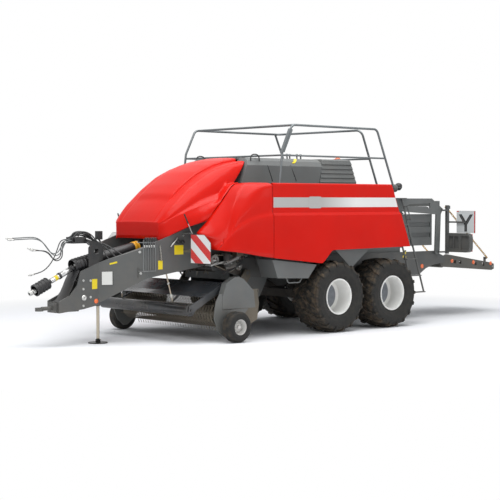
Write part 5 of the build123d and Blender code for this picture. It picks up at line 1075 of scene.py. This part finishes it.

# %% [markdown]
# Under the doors, between the pickup and the front wheels, the real machine shows dark drives: sprockets with roller
# chains, springs, a valve block and pipes. They are modest shapes on a black sheet that is painted shade for the space
# under the doors, all carried by the wall.

# %% Drives under the left and right doors
def wheel_rim(name, centre, radius, teeth, width, material):
    """Sprocket with teeth and a hub, its axis along Y."""
    bm = bmesh.new()
    front, back = [], []
    for k in range(teeth * 4):
        angle = 2 * math.pi * k / (teeth * 4)
        r = radius * (1.0 if k % 4 in (0, 1) else 0.92)
        front.append(bm.verts.new(centre + Vector((r * math.cos(angle), width / 2, r * math.sin(angle)))))
        back.append(bm.verts.new(centre + Vector((r * math.cos(angle), -width / 2, r * math.sin(angle)))))
    for k in range(len(front)):
        after = (k + 1) % len(front)
        bm.faces.new((front[k], front[after], back[after], back[k]))
    bm.faces.new(front)
    bm.faces.new(reversed(back))
    return fit(name, mesh_from(bm, name), material)


def spring_piece(name, start, end, radius, wire, turns, material):
    """Coil spring between two scene points with straight hooks."""
    start, end = Vector(start), Vector(end)
    turn = (end - start).to_track_quat("Z", "Y").to_matrix()
    length = (end - start).length
    points = [start]
    for k in range(turns * 10 + 1):
        angle = 2 * math.pi * k / 10
        points.append(start + turn @ Vector((radius * math.cos(angle), radius * math.sin(angle),
                                             length * (0.08 + 0.84 * k / (turns * 10)))))
    points.append(end)
    return bar_piece(name, points, wire, material, smooth_path=True)


# This oily black is the packer drum's own paint, and on the sheet behind the drives it is painted shade.
dark_drive_and_shade = painted("drive_black_oil_and_shade", (0.012, 0.012, 0.011), roughness=0.5, drift=0.4, dust=0.6, dust_top=1.5,
                     wear=0.7)
for side, sign in SIDES:
    # Painted shade: the black sheet on the wall stands in for the shade under the doors behind the drives.
    shade_sheet_outline = ((1520, 965), (2225, 1165), (2420, 1150), (2420, 1420), (1520, 1420))
    wall_sheet(f"drive_shade_backing_{side}", sign * 681, shade_sheet_outline, 0.002, dark_drive_and_shade)
    for number, (x, z, r, teeth) in enumerate(((1800, 1180, 0.130, 26), (2130, 1240, 0.085, 18),
                                               (1620, 1130, 0.070, 15))):
        wheel_rim(f"sprocket_{side}_{number}", at(x, sign * 760, z), r, teeth, 0.014, crop_steel)
        turned_piece(f"sprocket_hub_{side}_{number}", at(x, sign * 682, z), (0, sign, 0),
                     [(0.030, 0.0), (0.030, 0.066), (0.040, 0.068), (0.040, 0.098), (0.022, 0.10), (0.022, 0.112)],
                     pin_steel, sides=20)
    for number, (x0, z0, x1, z1) in enumerate(((1810, 1312, 2135, 1326), (1790, 1048, 2125, 1154),
                                               (1622, 1202, 1795, 1312))):
        chain_piece(f"roller_chain_{side}_{number}", at(x0, sign * 760, z0), at(x1, sign * 760, z1), 0.006, 0.026,
                    0.0045, tine_steel)
    spring_piece(f"pickup_spring_{side}", at(1700, sign * 880, 1290), at(1990, sign * 840, 1180), 0.026, 0.006, 14,
                 pin_steel)
    bar_piece(f"spring_peg_{side}", mirrored(sign, (1700, 680, 1290), (1700, 884, 1290)), 0.012, pin_steel)
    bar_piece(f"spring_anchor_{side}", mirrored(sign, (1990, 680, 1180), (1990, 844, 1180)), 0.012, pin_steel)
    block = ((1560, 1240), (1700, 1240), (1700, 1370), (1560, 1370))
    wall_sheet(f"valve_block_{side}", sign * 690, block, 0.12, tan_rod, bevel=0.006)
    for number in range(4):
        x = 1575 + 34 * number
        pipe = [at(x, sign * 806, 1290), at(x, sign * 850, 1290), at(x + 20, sign * 862, 1220),
                at(x + 120, sign * 850, 1120 - 16 * number), at(x + 330, sign * 800, 1080 - 18 * number)]
        bar_piece(f"valve_pipe_{side}_{number}", pipe, 0.008, hose_rubber, smooth_path=True)
print("drives on both sides")

# %% [markdown]
# Above the hitch a carrier gathers the hoses and cables. Black lines run over it in easy arches and go down to the
# arms, and a small black box stands on a post. These lines are fixed at both ends, so they are pieces, not free cords.

# %% Carrier lines and box
line_ends = [(3720, 286, 1322), (3640, 360, 1348), (3560, -430, 1380), (3480, -505, 1400), (3620, -374, 1362),
             (3800, 214, 1290)]
for number, (x_end, y_end, z_end) in enumerate(line_ends):
    y = -74 + 28 * number
    lift = 26 * (number % 3)
    route = [at(4336, y, 1622), at(4300, y, 1640 + lift), at(4210, y, 1662 + lift), at(4100, y * 0.8, 1655 + lift),
             at(3990, y * 0.5, 1610 + lift), at(3900, y * 0.4 + y_end * 0.12, 1560),
             at(0.5 * (3900 + x_end), y_end * 0.6, 0.5 * (1560 + z_end) + 30), at(x_end, y_end, z_end)]
    bar_piece(f"carrier_line_{number}", route, 0.0095 if number % 2 else 0.012, hose_rubber, smooth_path=True)
for number, (x, y) in enumerate(((4250, -20), (4170, 10), (4060, 0))):
    tie = []
    for step in range(17):
        angle = 2 * math.pi * step / 16
        tie.append(at(x, y + 92 * math.cos(angle) * (1 if number < 2 else 0.7), 1660 + 42 * math.sin(angle)))
    bar_piece(f"carrier_tie_{number}", tie, 0.005, black_moulding)
box_face = [at(x, -42, z) for x, z in ((3786, 1585), (3872, 1585), (3872, 1716), (3786, 1716))]
sheet_piece("carrier_box", box_face, Vector((0, 0.084, 0)), black_moulding, bevel=0.006)
bar_piece("carrier_post", [at(3870, 118, 1480), at(3850, 90, 1540), at(3829, 0, 1588)], 0.014, black_enamel)
TUBE_SLOPE = math.radians(12.5)
start = Vector((SHAFT_X - math.cos(SHAFT_SLOPE) * SHAFT_LENGTH, 0, SHAFT_Z + math.sin(SHAFT_SLOPE) * SHAFT_LENGTH))


def on_line_shaft(distance):
    """Point on the axis of the rear drive tube, this many millimetres from its front joint."""
    return at(start.x - math.cos(TUBE_SLOPE) * distance, 0, start.z + math.sin(TUBE_SLOPE) * distance)


turned_piece("drive_tube_collar", on_line_shaft(1040), on_line_shaft(100) - on_line_shaft(0),
             [(0.0868, 0.0), (0.094, 0.004), (0.094, 0.05), (0.0868, 0.054), (0.0868, 0.075), (0.092, 0.078),
              (0.092, 0.125), (0.0868, 0.128)], collar_paint, sides=36)
print("carrier dressed")

# %% [markdown]
# Two plated rods stand on the windrow guard, each under a short chain that hangs from the frame. Below the doors a tie
# bar and an oil filter are carried by the wall.

# %% Guard rods
for side, sign, foot, head, hook in (("left", 1, (2900, 650, 622), (2980, 580, 1094), (3060, 640, 1190)),
                                     ("right", -1, (2912, -640, 622), (2985, -580, 1085), (3065, -640, 1181))):
    foot, head, hook = at(*foot), at(*head), at(*hook)
    bar_piece(f"guard_rod_{side}", [foot, head], 0.011, tan_rod, "wind_guard")
    turned_piece(f"guard_rod_nut_{side}", foot.lerp(head, 0.12), head - foot,
                 [(0.012, 0.0), (0.018, 0.002), (0.018, 0.05), (0.012, 0.052)], pin_steel, "wind_guard", sides=6)
    turned_piece(f"guard_rod_stop_{side}", foot.lerp(head, 0.55), head - foot,
                 [(0.012, 0.0), (0.019, 0.002), (0.019, 0.03), (0.012, 0.032)], pin_steel, "wind_guard", sides=20)
    bend = foot.lerp(at(2745, sign * 610, 700), 0.5)
    bar_piece(f"guard_rod_arm_{side}", [foot, bend, at(2745, sign * 610, 702)], 0.012, guard_enamel, "wind_guard")
    chain_piece(f"guard_rod_chain_{side}", hook, head + Vector((0, 0, 0.015)), 0.01, 0.030, 0.0035, chain_steel)
for side, sign in SIDES:
    bar_piece(f"tie_bar_{side}", mirrored(sign, (2250, 800, 1160), (1490, 812, 1296)), 0.016, pin_steel)
    for number, (x, z) in enumerate(((2244, 1161), (1496, 1295))):
        bar_piece(f"tie_bar_peg_{side}_{number}", [at(x, sign * 682, z), at(x, sign * 818, z)], 0.014, pin_steel)
    tank = [(0.050, 0.0), (0.058, 0.006), (0.058, 0.20), (0.050, 0.206), (0.020, 0.21)]
    turned_piece(f"oil_filter_{side}", at(1905, sign * 800, 1330), (0, 0, -1), tank, dark_enamel, sides=28)
    bar_piece(f"filter_stay_{side}", mirrored(sign, (1905, 682, 1326), (1905, 800, 1326)), 0.02, dark_enamel)
print("guard rods and tie bars")

# %% [markdown]
# Behind the guard turns the packer: a dark drum with rows of fingers set on a screw line. Plates hang it from the
# walls. Each finger is a tapered six-sided peg. All the fingers are one mesh, and the drum is a
# turned piece. Nothing of it can be seen to move in the picture, so it has no joint and stays on the frame.

# %% Packer drum
bm = bmesh.new()
DRUM_X, DRUM_Z, FINGERS = 2060, 1110, 30
drum_middle = at(DRUM_X, 0, DRUM_Z)
for index in range(FINGERS):
    y = -0.625 + 1.25 * index / (FINGERS - 1)
    angle = math.radians(67 * index)
    outward = Vector((math.cos(angle), 0, math.sin(angle)))
    across = Vector((-math.sin(angle), 0, math.cos(angle)))
    rings = []
    for reach, size in ((0.055, 0.017), (0.105, 0.012), (0.132, 0.004)):
        middle = drum_middle + Vector((0, y, 0)) + outward * reach + across * (reach * reach * 1.6)
        rings.append([bm.verts.new(middle + across * (size * math.cos(a)) + Vector((0, size * math.sin(a), 0)))
                      for a in (k * math.pi / 3 for k in range(6))])
    for first, second in zip(rings, rings[1:]):
        for k in range(6):
            bm.faces.new((first[k], first[(k + 1) % 6], second[(k + 1) % 6], second[k]))
    bm.faces.new(rings[-1])
fit("packer_fingers", mesh_from(bm, "packer_fingers"), worked_steel)
turned_piece("packer_drum", at(DRUM_X, -662, DRUM_Z), (0, 1, 0), [(0.030, 0.0), (0.030, 0.012), (0.062, 0.016),
                                                                  (0.062, 1.308), (0.030, 1.312), (0.030, 1.324)],
             dark_drive_and_shade, sides=28)
for side, sign in SIDES:
    hanger = ((1980, 1300), (2150, 1300), (2110, 1070), (2010, 1070))
    wall_sheet(f"packer_hanger_{side}", sign * 664, hanger, 0.007, dark_enamel)
print("packer fingers", FINGERS)

# %% [markdown]
# The hydraulic hoses leave a clamp above the drawbar, sag in easy bends and rise again to the couplings that wait for
# the tractor. Each is one smooth curve through a few control points, thick as the real hose.

# %% Hoses
HOSE_THICKNESS = 0.016
ROUTES = {"a": [(4370.3, 30, 1600), (4448, 30, 1600), (4516, 33, 1540), (4562, 34, 1456), (4612, 33, 1400),
                (4682, 32, 1386), (4746, 31, 1420), (4800, 30, 1484), (4858, 30, 1556), (4926, 30, 1612),
                (5012, 30, 1640), (5130, 30, 1643), (5268, 30, 1637), (5400, 30, 1633)],
          "b": [(4370.3, 60, 1580), (4446, 60, 1580), (4509, 63, 1523), (4547, 64, 1436), (4598, 63, 1374),
                (4668, 62, 1358), (4733, 61, 1392), (4788, 60, 1456), (4848, 60, 1530), (4918, 60, 1588),
                (5011, 60, 1618), (5127, 60, 1621), (5258, 60, 1616), (5390, 60, 1613)],
          "c": [(4370.3, -8, 1560), (4421, -8, 1560), (4467, -8, 1533), (4493, -8, 1487), (4492, -9, 1420),
                (4495, -9, 1349), (4522, -9, 1306), (4566, -9, 1282), (4616, -9, 1281), (4660, -9, 1305),
                (4712, -10, 1385), (4795, -10, 1433), (4884, -10, 1438), (4972, -10, 1444)],
          "d": [(4370.3, -36, 1580), (4425, -36, 1580), (4469, -36, 1556), (4496, -36, 1514), (4501, -37, 1443),
                (4500, -37, 1378), (4523, -37, 1334), (4564, -37, 1306), (4613, -37, 1301), (4659, -37, 1320),
                (4716, -38, 1391), (4800, -38, 1431), (4902, -38, 1440), (5000, -38, 1460)],
          "e": [(4370.3, -66, 1596), (4450, -66, 1596), (4505, -67, 1549), (4535, -68, 1470), (4565, -69, 1400),
                (4600, -70, 1330), (4645, -72, 1260), (4708, -73, 1190), (4786, -74, 1134), (4874, -74, 1104),
                (4960, -74, 1088)],}
COUPLING_LENGTHS = {"a": 0.096, "b": 0.096, "c": 0.088, "d": 0.088, "e": 0.092}
for key, route in ROUTES.items():
    rubber = grey_hose if key in "ab" else hose_rubber
    points = [at(*point) for point in route]
    hose = bar_piece(f"free_hose_{key}", points, HOSE_THICKNESS / 2, rubber, smooth_path=True)
    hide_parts(f"hose_{key}")
    span = COUPLING_LENGTHS[key]
    steps = [(0.0086, -0.016), (0.0120, -0.014), (0.0120, 0.30 * span), (0.0100, 0.32 * span), (0.0100, 0.40 * span),
             (0.0160, 0.43 * span), (0.0160, 0.49 * span), (0.0148, 0.50 * span), (0.0148, 0.54 * span),
             (0.0160, 0.55 * span), (0.0160, 0.69 * span), (0.0110, 0.74 * span), (0.0110, 0.98 * span), (0.0100, span)]
    coupling = turned_piece(f"quick_coupling_{key}", points[-1], points[-1] - points[-2], steps, pin_steel)
    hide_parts("couplers")
print("hoses", len(ROUTES))

# %% [markdown]
# The studio is a pale seamless floor that becomes the backdrop. Near the machine the floor takes real shadows; far
# away it turns into plain white, so that no horizon shows.

# %% Floor and backdrop
bm = bmesh.new()
rings = []
for radius in (0.0, 4.0, 7.0, 10.0, 16.0, 40.0, 120.0):
    rings.append([bm.verts.new((radius * math.cos(k * math.pi / 32), radius * math.sin(k * math.pi / 32),
                                -0.001)) for k in range(64)] if radius else [bm.verts.new((0, 0, -0.001))])
for k in range(64):
    bm.faces.new((rings[0][0], rings[1][k], rings[1][(k + 1) % 64]))
for inner, outer in zip(rings[1:], rings[2:]):
    for k in range(64):
        bm.faces.new((inner[k], outer[k], outer[(k + 1) % 64], inner[(k + 1) % 64]))
floor_mesh = bpy.data.meshes.new("studio_floor")
bm.to_mesh(floor_mesh)
bm.free()
studio_floor = bpy.data.objects.new("studio_floor", floor_mesh)
scene.collection.objects.link(studio_floor)
studio_floor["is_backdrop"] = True
floor_paint, tree, shader = start_material("studio_floor_paint")
place = object_place(tree)
cloud = noise(tree, place, 0.8, 2.0)
tree.links.new(mix_colour(tree, cloud, (0.93, 0.94, 0.96, 1), (0.95, 0.96, 0.98, 1)), shader.inputs["Base Color"])
shader.inputs["Roughness"].default_value = 0.9
shader.inputs["Specular IOR Level"].default_value = 0.1
parts = add_node(tree, "ShaderNodeSeparateXYZ", {0: place})
reach = add_node(tree, "ShaderNodeVectorMath", {0: place}, operation="LENGTH").outputs["Value"]
white = add_node(tree, "ShaderNodeEmission", {"Color": (1, 1, 1, 1), "Strength": 1.0})
seen = add_node(tree, "ShaderNodeLightPath").outputs["Is Camera Ray"]
far_away = reckon(tree, "MULTIPLY", between(tree, reach, 5.5, 8.5), seen)
blend_white = add_node(tree, "ShaderNodeMixShader", {0: far_away, 1: shader.outputs[0], 2: white.outputs[0]})
tree.links.new(blend_white.outputs[0], tree.nodes["Material Output"].inputs[0])
floor_mesh.materials.append(floor_paint)
print("floor laid")

# %% [markdown]
# The light is large and soft, because the photograph has hardly any hard shadow. A wide lamp overhead does most of the
# work, and weaker ones fill from the front and from the machine's left. Camera, mirror and glass rays see plain white.

# %% Studio light
world = bpy.data.worlds.new("studio_air")
scene.world = world
world.use_nodes = True
tree = world.node_tree
tree.nodes.clear()
path = add_node(tree, "ShaderNodeLightPath")
air = add_node(tree, "ShaderNodeBackground", {"Color": (0.93, 0.96, 1.0, 1), "Strength": 0.40})
backdrop = add_node(tree, "ShaderNodeBackground", {"Color": (1, 1, 1, 1), "Strength": 1.0})
seen = reckon(tree, "MAXIMUM", path.outputs["Is Camera Ray"], path.outputs["Is Transmission Ray"])
seen = reckon(tree, "MAXIMUM", seen, path.outputs["Is Glossy Ray"])
shown = add_node(tree, "ShaderNodeMixShader", {0: seen, 1: air.outputs[0], 2: backdrop.outputs[0]})
tree.links.new(shown.outputs[0], add_node(tree, "ShaderNodeOutputWorld").inputs[0])


def soft_lamp(name, place, aim, width, height, watts):
    """Large area lamp aimed at a point."""
    lamp_data = bpy.data.lights.new(name, "AREA")
    lamp_data.shape = "RECTANGLE"
    lamp_data.size = width
    lamp_data.size_y = height
    lamp_data.energy = watts
    lamp = bpy.data.objects.new(name, lamp_data)
    scene.collection.objects.link(lamp)
    lamp.location = place
    lamp.rotation_mode = "QUATERNION"
    lamp.rotation_quaternion = (Vector(aim) - Vector(place)).to_track_quat("-Z", "Y")
    lamp.visible_camera = False
    return lamp


soft_lamp("overhead_light", (1.0, 1.5, 10.5), (0, 0, 0.5), 12, 9, 1250)
soft_lamp("front_light", (12.0, 5.5, 6.5), (1.5, 0, 1.2), 6, 5, 330)
soft_lamp("side_light", (-1.0, 14.0, 5.0), (-0.5, 0, 1.2), 9, 4, 190)
print("lamps", 3)

# %% [markdown]
# The view transform stays plain. The size of the finished scene is printed.

# %% Sizes and finish
scene.view_settings.view_transform = "Standard"
low, high = Vector((1e9,) * 3), Vector((-1e9,) * 3)
bpy.context.view_layer.update()
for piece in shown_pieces():
    for corner in piece.bound_box:
        spot = piece.matrix_world @ Vector(corner)
        low = Vector(map(min, low, spot))
        high = Vector(map(max, high, spot))
print("scene box", [round(v, 3) for v in (*low, *high)])
